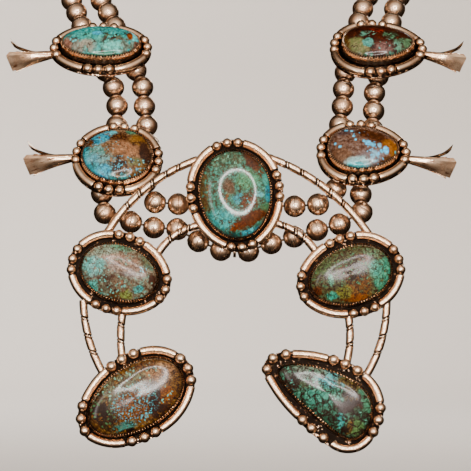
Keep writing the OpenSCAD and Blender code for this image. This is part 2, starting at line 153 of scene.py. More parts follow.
def lofted(rings, around, marks=()):
    part = bmesh.new()
    mark = part.verts.layers.float.new("mark")
    bmesh.ops.create_grid(part, x_segments=around, y_segments=len(rings) - 1, size=1)
    for v in part.verts:
        degrees = (v.co.x + 1) * 180
        k = round((v.co.y + 1) / 2 * (len(rings) - 1))
        v.co = Vector(rings[k](degrees))
        if marks:
            v[mark] = marks[k]
    bmesh.ops.remove_doubles(part, verts=part.verts, dist=0.002)
    bmesh.ops.recalc_face_normals(part, faces=part.faces)
    return part


def newMetal():
    metal = bmesh.new()
    metal.verts.layers.float.new("mark")  # more or less black than its hollow alone gives: oxide, polished bright spots and painted shade
    return metal


def meshOf(name, part):
    mesh = bpy.data.meshes.new(name)
    part.to_mesh(mesh)
    part.free()
    return mesh


def placed(name, data):
    made = bpy.data.objects.new(name, data)
    bpy.context.scene.collection.objects.link(made)
    return made


def addTo(metal, part):
    mesh = meshOf("part", part)
    metal.from_mesh(mesh)
    bpy.data.meshes.remove(mesh)


def spunProfile(profile, steps):
    part = bmesh.new()
    ring = [part.verts.new((x, 0, z)) for x, z in profile]
    for k in range(len(ring)):
        part.edges.new((ring[k], ring[(k + 1) % len(ring)]))
    bmesh.ops.spin(part, geom=part.verts[:] + part.edges[:], cent=(0, 0, 0), axis=(0, 0, 1), dvec=(0, 0, 0),
                   angle=2 * math.pi, steps=steps, use_merge=True, use_duplicate=False)
    bmesh.ops.recalc_face_normals(part, faces=part.faces)
    return part


def ringOf(row, grow, height, share=1.0):
    return lambda degrees: (*eggPoint(row, grow, degrees, share), height)


def addPlate(metal, row):
    collar = collarOf(row)
    rim = row["gap"] + metalWork["plateRim"]
    edge = metalWork["plateEdge"]
    top = metalWork["plate"]
    rings = [ringOf(collar, 0, 0, 0.0), ringOf(collar, 0, 0, 0.6), ringOf(collar, rim - edge, 0),
             ringOf(collar, rim, edge), ringOf(collar, rim, top - edge), ringOf(collar, rim - edge, top)]
    rings += [ringOf(collar, rim - edge - s, top) for s in (0.5, 1.0, 1.6, 2.3, 3.0)]
    rings += [ringOf(row, 0.2, top), ringOf(row, 0, top, 0.5), ringOf(row, 0, top, 0.0)]
    addTo(metal, lofted(rings, 96, (0, 0, 0.15, 0.35, 0.35, 0.2, 0.2, 0.4, 0.55, 0.6, 0.6, 0.6, 0.6, 0.6)))


def addBezel(metal, row):
    m = metalWork
    girth = sum((Vector(eggPoint(row, 0, a)) - Vector(eggPoint(row, 0, a + 4))).length
                for a in range(0, 360, 4))
    teeth = round(girth / m["toothPitch"])
    inner = m["bezelInner"]
    outer = inner + m["bezelWall"]

    def tooth(grow, depth):
        def ring(degrees):
            k = round(degrees / 360 * teeth * 2) % 2
            height = m["bezelTop"] - k * depth
            lean = m["toothLean"] * (1 - k) if grow < outer - 0.2 else m["toothLean"] * 0.8 * (1 - k)
            return (*eggPoint(row, grow - lean, degrees), height)
        return ring

    shoulder = m["bezelTop"] - m["toothDepth"] - 0.25
    rings = [ringOf(row, outer + 0.5, m["bezelFoot"]), ringOf(row, outer + 0.46, 1.1),
             ringOf(row, outer + 0.2, 2.4), ringOf(row, outer + 0.04, shoulder),
             tooth(outer - 0.04, m["toothDepth"]), tooth(inner + 0.02, m["toothDepth"]),
             ringOf(row, inner, shoulder), ringOf(row, inner, m["bezelFoot"]),
             ringOf(row, outer + 0.5, m["bezelFoot"])]
    part = lofted(rings, teeth * 2, (0.5, 0.15, -0.2, -0.1, 0, 0, 0.5, 0.6, 0.5))
    mark = part.verts.layers.float["mark"]
    for v in part.verts:
        if v.co.z > shoulder + 0.01:  # polished bright tips; painted shadow in the black notches
            v[mark] = -0.8 + 2.4 * (m["bezelTop"] - v.co.z) / m["toothDepth"]
    addTo(metal, part)


def circleMiddle(a, b, c):
    p, q = b - a, c - a
    k = 2 * (p.x * q.y - p.y * q.x)
    return a + Vector((q.y * p.length_squared - p.y * q.length_squared,
                       p.x * q.length_squared - q.x * p.length_squared)) / k


def bentTube(ends, height, thick, more, sides, stepLength, notches=(), seed=0.0):
    a, b, c = ends
    middle = circleMiddle(a, b, c)
    radius = (a - middle).length
    way = 1 if (b - a).cross(c - b) > 0 else -1
    start = math.atan2(a.y - middle.y, a.x - middle.x) - way * more / radius
    finish = math.atan2(c.y - middle.y, c.x - middle.x) + way * more / radius
    sweep = way * ((finish - start) * way % (2 * math.pi))
    out = Vector((math.cos(start), math.sin(start), 0))
    up = Vector((0, 0, 1))
    turn = Matrix((out, up, out.cross(up))).transposed().to_4x4()
    place = Matrix.Translation((middle.x + out.x * radius, middle.y + out.y * radius, height)) @ turn
    steps = max(6, round(abs(sweep) * radius / stepLength))
    part = bmesh.new()
    mark = part.verts.layers.float.new("mark")
    bmesh.ops.create_circle(part, segments=sides, radius=thick / 2, matrix=place)
    bmesh.ops.spin(part, geom=part.verts[:] + part.edges[:], cent=(middle.x, middle.y, height),
                   axis=(0, 0, 1), dvec=(0, 0, 0), angle=sweep, steps=steps, use_merge=False,
                   use_duplicate=False)
    # saw cuts across the wire
    for v in part.verts:
        flat = Vector((v.co.x - middle.x, v.co.y - middle.y))
        off = Vector((flat.length - radius, v.co.z - height))
        gone = ((math.atan2(flat.y, flat.x) - start) * way % (2 * math.pi)) * radius
        if gone > abs(sweep) * radius + 1:
            gone = 0.0
        cut = sum(depth * max(0, 1 - abs(gone + slant * off.x - at) / wide)
                  for at, depth, wide, slant in notches)
        wave = metalWork["tubeWave"] * noise.noise(Vector((gone * 0.35, seed, off.y * 0.4)))
        v[mark] = 5 * cut if notches else -0.2
        off *= 1 - min(cut, 0.3) + wave
        flat = flat.normalized() * (radius + off.x)
        v.co = (middle.x + flat.x, middle.y + flat.y, height + off.y)
    bmesh.ops.holes_fill(part, edges=[e for e in part.edges if e.is_boundary], sides=0)
    rims = [e for e in part.edges if any(len(f.verts) > 4 for f in e.link_faces)]
    bmesh.ops.bevel(part, geom=rims, offset=metalWork["cutEdge"], segments=2, profile=0.5, affect="EDGES",
                    material=-1)
    bmesh.ops.recalc_face_normals(part, faces=part.faces)
    return part


def addBall(metal, x, y, z, size, seed):
    part = bmesh.new()
    mark = part.verts.layers.float.new("mark")
    bmesh.ops.create_uvsphere(part, u_segments=metalWork["ballAround"], v_segments=metalWork["ballRows"],
                              radius=size / 2)
    for v in part.verts:
        v.co *= 1 + metalWork["ballWave"] * noise.noise(v.co * 0.7 + Vector((seed, 0, 0)))
        v[mark] = -0.14
    turn = Matrix.Rotation(seed * 2.1, 4, "Z") @ Matrix.Rotation(seed * 1.3, 4, "X")
    bmesh.ops.transform(part, matrix=Matrix.Translation((x, y, z)) @ turn, verts=part.verts)
    addTo(metal, part)


def addCollar(metal, row):
    m = metalWork
    collar = collarOf(row)
    ball = m["ball"] * row["ball"]
    apart = m["ballPitch"] * row["ball"]
    for g, seen in enumerate(collar["balls"]):
        for i in (-1, 0, 1):
            p = eggTowards(collar, collar["gap"], seen + i * spanOf(collar, seen, apart))
            seed = g * 3 + i + collar["long"]
            size = ball * (0.985 + 0.03 * noise.noise(Vector((seed * 1.7, 0, 0))))
            addBall(metal, p.x, p.y, m["plate"] + ball / 2 - m["sunk"], size, seed)
    clear = 1.5 * apart + 0.05
    order = sorted(seen % 360 for seen in collar["balls"])
    for i in range(4):
        first = order[i] + spanOf(collar, order[i], clear)
        last = order[(i + 1) % 4] + (360 if i == 3 else 0)
        last -= spanOf(collar, last, clear)
        ends = [eggTowards(collar, collar["gap"], seen) for seen in (first, (first + last) / 2, last)]
        addTo(metal, bentTube(ends, m["plate"] + m["tube"] / 2 - m["sunk"], m["tube"], 0, m["tubeSides"],
                              m["tubeStep"], seed=i + collar["wide"]))


def addSetting(metal, row):
    addPlate(metal, row)
    addBezel(metal, row)
    addCollar(metal, row)


# A tube on the back with a web between it and the plate: the web's half width, its reach down and up the
# back and where it starts under the tube's middle
bailShape = {"length": 3, "outer": 3.6, "bore": 2.0, "web": (1, -1, 1, 1.3), "around": 28, "cut": 0.12,
             "webCut": 0.15}


def addBail(metal, at, way, shape):
    cut = shape["cut"]
    inside, outside, end = shape["bore"] / 2, shape["outer"] / 2, shape["length"] / 2
    part = spunProfile([(inside, -end), (outside - cut, -end), (outside, -end + cut), (outside, end - cut),
                        (outside - cut, end), (inside, end)], shape["around"])
    turn = Vector((0, 0, 1)).rotation_difference(Vector(way)).to_matrix().to_4x4()
    bmesh.ops.transform(part, matrix=Matrix.Translation(at) @ turn, verts=part.verts)
    addTo(metal, part)
    wide, low, high, start = shape["web"]
    lowest = Vector((at[0] - wide, at[1] + low, at[2] + start))
    highest = Vector((at[0] + wide, at[1] + high, metalWork["webTop"]))
    part = bmesh.new()
    bmesh.ops.create_cube(part, size=1)
    bmesh.ops.transform(part, matrix=Matrix.Translation((highest + lowest) / 2)
                        @ Matrix.Diagonal((*(highest - lowest), 1)), verts=part.verts)
    bmesh.ops.bevel(part, geom=part.edges[:], offset=shape["webCut"], segments=1, profile=0.5,
                    affect="EDGES", material=-1)
    addTo(metal, part)


oxideAndShadeRays = {"count": 14, "turn": 2.4, "lowest": 0.15, "lift": 0.00004, "farLess": 0.6,
             "settings": 0.0026, "wires": 0.002}


# The more of the rays from a point meet metal or stone close by, the blacker it is: oxide in the hollows and
# painted shade where parts meet; the marks are added on top
def keepOxideAndShade(mesh, others, reach):
    marks = [0.0] * len(mesh.vertices)
    mesh.attributes["mark"].data.foreach_get("value", marks)
    points = [v.co.copy() for v in mesh.vertices]
    faces = [tuple(p.vertices) for p in mesh.polygons]
    for other in others:
        first = len(points)
        points += [v.co.copy() for v in other.vertices]
        faces += [tuple(first + i for i in p.vertices) for p in other.polygons]
    tree = BVHTree.FromPolygons(points, faces)
    count, lowest = oxideAndShadeRays["count"], oxideAndShadeRays["lowest"]
    ways = []
    for k in range(count):
        h = lowest + 0.8 * (k + 0.5) / count
        flat, turn = math.sqrt(1 - h * h), k * oxideAndShadeRays["turn"]
        ways.append(Vector((flat * math.cos(turn), flat * math.sin(turn), h)))
    oxideAndShade = mesh.attributes.new("oxideAndShade", "FLOAT", "POINT")
    values = []
    for v in mesh.vertices:
        turn = Vector((0, 0, 1)).rotation_difference(v.normal)
        start = v.co + v.normal * oxideAndShadeRays["lift"]
        near = 0.0
        for way in ways:
            hit = tree.ray_cast(start, turn @ way, reach)
            if hit[0] is not None:
                near += 1 - oxideAndShadeRays["farLess"] * hit[3] / reach
        values.append(near / len(ways) + marks[v.index])
    oxideAndShade.data.foreach_set("value", values)


def newPiece(name, metal, place, material, nodes, sharp=35):
    mesh = meshOf(name, metal)
    mesh.transform(place)
    mesh.shade_smooth()
    mesh.set_sharp_from_angle(angle=math.radians(sharp))
    piece = placed(name, mesh)
    mesh.materials.append(material)
    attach(piece, "root")
    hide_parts(*nodes)
    return piece


def tint(r, g, b):
    def linear(c):
        c /= 255
        return c / 12.92 if c <= 0.04045 else ((c + 0.055) / 1.055) ** 2.4
    return (linear(r), linear(g), linear(b), 1)


class Paint:
    def __init__(self, owner, shader="Principled BSDF"):
        owner.use_nodes = True
        self.owner = owner
        self.tree = owner.node_tree
        self.shader = self.tree.nodes[shader]

    def node(self, kind, **values):
        made = self.tree.nodes.new(kind)
        for key, value in values.items():
            if key in made.inputs:
                self.feed(made.inputs[key], value)
            elif key.replace("_", " ") in made.inputs:
                self.feed(made.inputs[key.replace("_", " ")], value)
            else:
                setattr(made, key, value)
        return made

    def feed(self, socket, value):
        if isinstance(value, bpy.types.NodeSocket):
            self.tree.links.new(value, socket)
        else:
            socket.default_value = value

    def number(self, operation, a, b=None, c=None):
        made = self.tree.nodes.new("ShaderNodeMath")
        made.operation = operation
        for socket, value in zip(made.inputs, (a, b, c)):
            if value is not None:
                self.feed(socket, value)
        return made.outputs[0]

    def vector(self, operation, a, b=None, scale=None):
        made = self.tree.nodes.new("ShaderNodeVectorMath")
        made.operation = operation
        self.feed(made.inputs[0], a)
        if b is not None:
            self.feed(made.inputs[1], b)
        if scale is not None:
            self.feed(made.inputs["Scale"], scale)
        return made.outputs["Value"] if operation in ("LENGTH", "DOT_PRODUCT") else made.outputs[0]

    def fit(self, value, low, high, to=0.0, past=1.0):
        made = self.tree.nodes.new("ShaderNodeMapRange")
        made.interpolation_type = "SMOOTHSTEP"
        given = {"Value": value, "From Min": low, "From Max": high, "To Min": to, "To Max": past}
        for key, each in given.items():
            self.feed(made.inputs[key], each)
        return made.outputs["Result"]

    def mix(self, share, a, b, blend="MIX"):
        made = self.tree.nodes.new("ShaderNodeMix")
        made.data_type = "RGBA"
        made.blend_type = blend
        self.feed(made.inputs[0], share)
        self.feed(made.inputs[6], a)
        self.feed(made.inputs[7], b)
        return made.outputs[2]

    def noise(self, place, scale, detail=3.0, rough=0.55, colour=False):
        made = self.node("ShaderNodeTexNoise", Vector=place, Scale=scale, Detail=detail, Roughness=rough)
        return made.outputs["Color" if colour else "Fac"]

    def cells(self, place, scale, feature="F1"):
        made = self.tree.nodes.new("ShaderNodeTexVoronoi")
        made.feature = feature
        self.feed(made.inputs["Vector"], place)
        self.feed(made.inputs["Scale"], scale)
        return made

    def place(self):
        return self.node("ShaderNodeTexCoord").outputs["Object"]

    def layer(self, name):
        return self.node("ShaderNodeAttribute", attribute_name=name).outputs["Fac"]

    def sway(self, place, scale, detail, reach):
        middle = self.vector("SUBTRACT", self.noise(place, scale, detail, colour=True), (0.5, 0.5, 0.5))
        return self.vector("SCALE", middle, scale=reach)

    def ellipse(self, around, at, size, turn, low, high):
        local = self.vector("SUBTRACT", around, at)
        turned = self.node("ShaderNodeVectorRotate", rotation_type="Z_AXIS", Vector=local,
                           Angle=math.radians(-turn))
        scaled = self.vector("MULTIPLY", turned.outputs[0], (1 / size[0], 1 / size[1], 0))
        return self.fit(self.vector("LENGTH", scaled), low, high, 1.0, 0.0)

    def metal(self, mottle, bright, warm):
        self.shader.inputs["Metallic"].default_value = 1.0
        return self.mix(self.fit(mottle, 0.35, 0.7), tint(*bright), tint(*warm))

    def bump(self, height, strength, distance):
        made = self.node("ShaderNodeBump", Height=height, Strength=strength, Distance=distance)
        self.feed(self.shader.inputs["Normal"], made.outputs[0])


silverLook = {"bright": (250, 224, 196), "warm": (232, 190, 154), "oxideAndShade": (22, 16, 12),
              "copper": (160, 108, 72), "beadBright": (246, 218, 190), "beadWarm": (220, 178, 144),
              "beadSeamAndShade": (60, 40, 30)}


def silverMaterial():
    p = Paint(bpy.data.materials.new("warm silver"))
    place = p.place()
    oxideAndShade = p.layer("oxideAndShade")
    mottle = p.noise(place, 260, 4)
    fine = p.noise(place, 1500, 3)
    colour = p.metal(mottle, silverLook["bright"], silverLook["warm"])
    # oxide in the hollows and painted shade: copper-brown, then near black, where the kept darkening is high
    grimeAndShade = p.number("ADD", oxideAndShade, p.number("MULTIPLY", p.number("SUBTRACT", mottle, 0.5), 0.16))
    grimeAndShade = p.number("SUBTRACT", grimeAndShade, p.fit(p.noise(place, 900, 3, 0.7), 0.54, 0.66, 0.0, 0.8))
    colour = p.mix(p.fit(grimeAndShade, 0.2, 0.42), colour, tint(*silverLook["copper"]))
    dark = p.fit(grimeAndShade, 0.3, 0.5)
    colour = p.mix(dark, colour, tint(*silverLook["oxideAndShade"]))
    p.feed(p.shader.inputs["Base Color"], colour)
    rough = p.number("ADD", p.fit(mottle, 0.3, 0.75, 0.18, 0.3), p.number("MULTIPLY", dark, 0.25))
    p.feed(p.shader.inputs["Roughness"], rough)
    p.bump(p.number("ADD", mottle, p.number("MULTIPLY", fine, 0.25)), 0.3, 0.00005)
    return p.owner


def beadMaterial():
    p = Paint(bpy.data.materials.new("bead silver"))
    place = p.place()
    axial = p.layer("axial")
    own = p.layer("own")
    far = p.number("ABSOLUTE", axial)
    mottle = p.noise(place, 240, 4)
    lines = p.node("ShaderNodeCombineXYZ", X=p.number("MULTIPLY", axial, 4.5), Y=own, Z=0.0).outputs[0]
    turnedLines = p.noise(lines, 1.6, 3, 0.7)
    colour = p.metal(mottle, silverLook["beadBright"], silverLook["beadWarm"])
    seam = p.fit(far, 0.05, 0.16, 1.0, 0.0)
    # painted shade with tarnish: darker round the ends of the hole, where the beads meet
    rim = p.fit(p.number("ADD", far, p.number("MULTIPLY", mottle, 0.5)), 3.45, 3.8)
    dark = p.number("MAXIMUM", p.number("MULTIPLY", seam, 0.75), rim)
    colour = p.mix(dark, colour, tint(*silverLook["beadSeamAndShade"]))
    p.feed(p.shader.inputs["Base Color"], colour)
    rough = p.number("ADD", p.fit(mottle, 0.3, 0.75, 0.18, 0.3), p.number("MULTIPLY", dark, 0.25))
    rough = p.number("ADD", rough, p.fit(turnedLines, 0.35, 0.7, 0.0, 0.08))
    p.feed(p.shader.inputs["Roughness"], rough)
    p.bump(p.number("ADD", turnedLines, p.number("MULTIPLY", mottle, 0.8)), 0.3, 0.00002)
    return p.owner


warmSilver = silverMaterial()
beadSilver = beadMaterial()
print("metal finishes made")

stoneCut = {"foot": 0.96, "top": 7.1, "girdle": 0.44, "around": 120, "rings": 34, "sheet": 40.0}

# How each stone is domed: the ridge's direction, how far it lies to its side (a share of the stone's
# half width), how round it is across (small is sharp) and how flat along it (2 is round)
stoneRidges = {
    "stone_centre": (7, 0.0, 2.0, 2.4),
    "stone_left": (156, -0.3, 0.3, 2.6),
    "stone_right": (24, 0.35, 0.3, 2.6),
    "stone_lower_left": (28, 0.45, 0.5, 2.6),
    "stone_lower_right": (144, -0.5, 0.5, 2.4),
    "blossom_stone_upper_left": (-4, 0.1, 0.6, 2.4),
    "blossom_stone_upper_right": (152, 0.1, 0.4, 2.5),
    "blossom_stone_lower_left": (150, 0.1, 0.5, 2.5),
    "blossom_stone_lower_right": (148, 0.1, 0.4, 2.5),
}


def addStone(row, ridge):
    c = stoneCut
    rise = c["top"] - c["foot"]
    edge = c["foot"] + c["girdle"] * rise
    facing, aside, sharp, flat = ridge

    def domeRing(share):
        def ring(degrees):
            x, y = eggPoint(row, 0, degrees)
            seen = math.atan2(y - row["at"][1], x - row["at"][0]) - math.radians(facing)
            along, across = share * math.cos(seen), share * math.sin(seen)
            across = max(-1.0, min(1.0, across / math.sqrt(max(1e-9, 1 - along * along))))
            across = (across - aside) / (1 - aside * across)  # the ridge moves, the edges stay
            drop = (math.hypot(across, sharp) - sharp) / (math.hypot(1, sharp) - sharp)
            rest = max(0.0, (1 - abs(along) ** flat) * (1 - drop))
            return *eggPoint(row, 0, degrees, share), edge + (c["top"] - edge) * math.sqrt(rest)
        return ring

    rings = [ringOf(row, 0, c["foot"], 0.0), ringOf(row, 0, c["foot"], 0.97), ringOf(row, 0, c["foot"] + 0.2),
             ringOf(row, 0, edge - 0.3)]
    shares = [max(0.0, math.cos(math.pi / 2 * k / c["rings"])) for k in range(c["rings"])] + [0.0]
    rings += [domeRing(share) for share in shares]
    # painted shadow round the girdle: full at the foot and sides, fading out over the dome's outer edge
    marks = [1, 1, 1, 1] + [max(0.0, 1 - (1 - share) / 0.05) for share in shares]
    return lofted(rings, c["around"], marks)


# How each stone is coloured, in millimetres and degrees from its middle. Webs of veins: scale, width, share
# that is seen, colour. Marks: place, half sizes, turn, the two colours they run between, share covered,
# softness. Specks: place, half sizes and turn of their patch, scale, size of a dot, share of cells with one,
# colour
stoneLooks = {}
stoneLooks["stone_centre"] = {
    "seed": 1.0, "grain": 1.15, "nuggetShading": 0.5, "depth": (1.1, 0.94, 0.88), "satin": 0.1,
    "ground": ((86, 84, 62), (78, 148, 134), (104, 180, 166)),
    "webs": [(0.55, 0.0945, 0.562, (92, 66, 38)), (1.3, 0.0675, 0.375, (80, 60, 40))],
    "marks": [
        ((-2.5, 11.2), (5.9, 3.0), 10, (70, 96, 78), (116, 160, 138), 0.8, 0.3),
        ((2.5, 14.8), (6.6, 1.2), 158, (84, 52, 30), (64, 40, 24), 1, 0.3),
        ((5.4, 11.3), (3.6, 2.0), 120, (84, 52, 30), (108, 72, 40), 1, 0.25),
        ((8.1, 7.2), (3.0, 1.3), 118, (120, 84, 50), (90, 60, 40), 0.6, 0.3),
        ((-10.4, 1.3), (8.0, 1.7), 90, (96, 92, 60), (128, 112, 72), 0.75, 0.35),
        ((-2.1, 2.4), (2.7, 2.0), 100, (104, 96, 78), (134, 112, 90), 1, 0.35),
        ((3.8, 4.8), (3.6, 3.3), 0, (84, 158, 130), (112, 178, 144), 1, 0.3),
        ((-3.4, -1.5), (1.7, 1.3), 0, (128, 100, 60), (150, 120, 80), 0.7, 0.4),
        ((4.8, -2.9), (3.0, 3.0), 90, (118, 82, 58), (140, 104, 78), 0.85, 0.35),
        ((0.8, -1.9), (1.7, 1.6), 90, (52, 150, 164), (90, 182, 190), 1, 0.3),
        ((7.7, -0.2), (1.5, 1.0), 0, (96, 186, 196), (130, 206, 206), 1, 0.3),
        ((10.7, 0.3), (3.0, 1.0), 90, (26, 128, 148), (60, 164, 176), 1, 0.25),
        ((10.0, 5.3), (2.3, 1.3), 90, (70, 164, 158), (100, 184, 172), 1, 0.3),
        ((10.0, -4.7), (1.7, 1.6), 90, (84, 132, 104), (110, 150, 110), 1, 0.3),
        ((-3.8, -8.4), (4.6, 3.0), 160, (58, 168, 174), (98, 194, 192), 1, 0.3),
        ((5.7, -8.1), (5.3, 2.0), 28, (100, 62, 28), (124, 80, 40), 1, 0.18),
        ((0.8, -10.7), (2.6, 1.3), 20, (110, 62, 26), (140, 84, 34), 0.8, 0.25),
        ((4.8, -12.3), (3.6, 1.1), 15, (40, 150, 170), (84, 196, 206), 1, 0.2),
        ((-2.5, -13.5), (4.0, 1.2), 175, (36, 92, 90), (70, 140, 132), 0.8, 0.3),
    ],
    "specks": [
        ((-2.5, 11.8), (5.9, 3.0), 10, 0.9, 0.42, 0.5, (126, 188, 168)),
        ((4.1, -3.5), (3.0, 2.7), 0, 1.1, 0.35, 0.55, (92, 176, 176)),
        ((5.4, -11.6), (3.3, 1.0), 15, 1.1, 0.35, 0.6, (90, 204, 214)),
    ],
}
stoneLooks["stone_left"] = {
    "seed": 5.0, "grain": 1.1, "nuggetShading": 0.5, "depth": (1.15, 1.12, 1.08), "satin": 0.21,
    "ground": ((104, 84, 66), (150, 146, 128), (126, 178, 166)),
    "webs": [(0.7, 0.108, 0.625, (84, 54, 40)), (1.5, 0.081, 0.5, (92, 66, 50))],
    "marks": [
        ((0.3, 3.2), (9.9, 3.0), 160, (158, 128, 108), (178, 158, 138), 0.75, 0.35),
        ((-8.6, 2.0), (4.0, 3.3), 0, (96, 180, 176), (136, 200, 194), 0.85, 0.3),
        ((-3.7, 7.3), (5.3, 1.7), 10, (138, 156, 140), (160, 178, 162), 0.8, 0.3),
        ((-8.9, -4.5), (2.3, 2.0), 149, (52, 168, 160), (92, 196, 188), 1, 0.25),
        ((-6.3, -7.7), (2.0, 1.3), 160, (64, 160, 156), (96, 188, 180), 0.9, 0.3),
        ((-3.6, -4.0), (4.3, 3.3), 170, (82, 54, 42), (124, 130, 112), 0.9, 0.3),
        ((-0.3, -7.9), (4.0, 1.3), 0, (96, 66, 36), (128, 110, 70), 0.9, 0.3),
        ((2.3, -7.2), (2.0, 1.5), 0, (132, 150, 84), (150, 166, 104), 1, 0.2),
        ((6.2, -5.6), (2.0, 1.3), 25, (46, 160, 164), (92, 196, 192), 1, 0.2),
        ((1.6, -4.0), (4.0, 2.3), 160, (150, 120, 98), (118, 138, 122), 0.8, 0.3),
        ((9.5, 3.4), (2.7, 2.6), 90, (128, 122, 92), (96, 148, 132), 0.8, 0.3),
        ((0.9, 8.0), (3.6, 1.0), 168, (96, 152, 128), (128, 176, 152), 0.8, 0.3),
        ((11.1, -2.9), (2.3, 1.3), 110, (66, 44, 34), (96, 66, 48), 0.8, 0.3),
    ],
    "specks": [
        ((8.5, 0.7), (2.3, 1.3), 0, 1.2, 0.4, 0.45, (130, 208, 222)),
        ((-2.9, -4.0), (5.3, 4.0), 0, 1.1, 0.36, 0.5, (104, 188, 182)),
        ((-6.9, 3.9), (4.0, 2.7), 0, 1.0, 0.3, 0.7, (150, 210, 204)),
    ],
}
stoneLooks["stone_right"] = {
    "seed": 9.0, "grain": 1.1, "nuggetShading": 0.5, "depth": (0.86, 0.82, 0.56), "satin": 0.21,
    "ground": ((84, 62, 38), (120, 124, 98), (98, 156, 138)),
    "webs": [(0.7, 0.108, 0.625, (66, 40, 26)), (1.4, 0.081, 0.5, (80, 52, 34))],
    "marks": [
        ((10.6, 0.8), (5.3, 3.3), 80, (66, 168, 164), (112, 196, 184), 0.9, 0.25),
        ((8.3, 2.1), (2.7, 2.3), 90, (78, 178, 180), (116, 204, 200), 1, 0.3),
        ((11.0, -5.2), (2.3, 1.7), 20, (74, 158, 140), (98, 176, 156), 0.9, 0.3),
        ((7.0, 7.4), (3.3, 1.7), 0, (120, 160, 146), (150, 158, 140), 0.8, 0.3),
        ((3.7, 5.4), (2.3, 1.3), 0, (128, 88, 72), (156, 118, 98), 0.8, 0.3),
        ((2.4, -3.9), (4.6, 4.6), 90, (134, 92, 38), (158, 122, 66), 0.8, 0.3),
        ((2.0, -7.4), (4.6, 1.3), 10, (148, 92, 26), (172, 124, 52), 1, 0.3),
        ((-1.9, -5.8), (2.3, 2.0), 0, (132, 138, 66), (156, 158, 88), 1, 0.25),
        ((-5.8, -7.1), (1.7, 1.2), 10, (52, 178, 178), (98, 210, 208), 1, 0.2),
        ((-6.5, -1.9), (2.0, 0.9), 98, (110, 196, 196), (150, 214, 208), 0.9, 0.3),
        ((-1.6, 0.4), (2.7, 2.6), 90, (116, 88, 66), (142, 116, 92), 0.8, 0.3),
        ((-8.8, 2.8), (3.0, 2.7), 10, (92, 118, 88), (126, 146, 112), 0.9, 0.3),
        ((-11.1, -5.4), (1.7, 1.6), 90, (110, 62, 26), (134, 84, 40), 0.9, 0.3),
        ((1.1, 0.7), (3.3, 2.6), 90, (66, 44, 30), (112, 92, 58), 0.55, 0.3),
    ],
    "specks": [
        ((0.4, -0.6), (6.6, 4.6), 0, 1.1, 0.36, 0.55, (106, 164, 142)),
        ((5.0, -1.9), (4.6, 4.0), 90, 1.4, 0.3, 0.7, (24, 16, 12)),
    ],
}
stoneLooks["stone_lower_left"] = {
    "seed": 13.0, "grain": 1.2, "nuggetShading": 0.35, "depth": (0.8, 0.78, 0.62), "satin": 0.15,
    "ground": ((92, 66, 30), (146, 108, 48), (176, 142, 86)),
    "webs": [(0.9, 0.108, 0.562, (56, 32, 18)), (1.7, 0.0945, 0.562, (66, 40, 24))],
    "marks": [
        ((-4.3, 3.9), (11.2, 3.3), 22, (140, 122, 102), (160, 168, 148), 0.85, 0.3),
        ((8.1, 8.2), (5.0, 3.3), 10, (186, 144, 112), (204, 172, 142), 0.85, 0.3),
        ((3.2, 10.2), (4.6, 1.7), 18, (142, 96, 52), (160, 132, 94), 0.8, 0.3),
        ((-10.5, -5.5), (4.6, 4.0), 124, (50, 28, 18), (74, 46, 28), 0.85, 0.3),
        ((-12.2, -0.2), (2.7, 2.6), 90, (110, 92, 74), (142, 136, 112), 0.7, 0.3),
        ((-7.2, -3.6), (3.3, 2.0), 80, (104, 122, 86), (88, 62, 36), 0.8, 0.3),
        ((-0.7, -2.6), (6.6, 4.6), 25, (144, 92, 32), (168, 118, 50), 0.9, 0.3),
        ((9.4, 0.7), (3.6, 2.7), 30, (164, 104, 34), (190, 136, 62), 1, 0.25),
        ((6.2, -1.0), (5.0, 1.7), 82, (74, 44, 32), (98, 62, 44), 1, 0.25),
        ((5.2, 3.9), (2.0, 1.7), 0, (120, 92, 88), (146, 120, 112), 0.9, 0.4),
        ((8.4, -4.5), (3.0, 2.0), 40, (92, 56, 30), (70, 42, 24), 0.9, 0.3),
        ((-3.6, -9.8), (4.0, 1.7), 18, (74, 140, 140), (116, 190, 190), 0.7, 0.3),
        ((-3.0, -11.3), (3.0, 1.0), 20, (28, 18, 14), (60, 40, 26), 0.7, 0.3),
        ((-9.5, -9.1), (2.6, 2.0), 20, (96, 88, 52), (74, 50, 30), 0.8, 0.3),
    ],
    "specks": [
        ((-0.4, -2.3), (7.9, 6.6), 26, 1.15, 0.38, 0.5, (96, 206, 234)),
        ((-0.4, -2.3), (7.9, 6.6), 26, 1.9, 0.4, 0.6, (84, 196, 226)),
        ((9.7, 1.0), (4.0, 2.7), 30, 1.0, 0.4, 0.35, (120, 206, 208)),
        ((-4.3, 4.3), (11.2, 4.0), 22, 0.8, 0.34, 0.5, (142, 190, 184)),
        ((4.8, 10.2), (7.3, 2.7), 15, 0.9, 0.36, 0.45, (126, 196, 204)),
        ((-10.8, -5.5), (4.6, 4.0), 124, 0.8, 0.42, 0.5, (98, 138, 108)),
        ((1.6, -4.2), (8.6, 6.6), 25, 1.3, 0.3, 0.75, (36, 22, 14)),
    ],
}
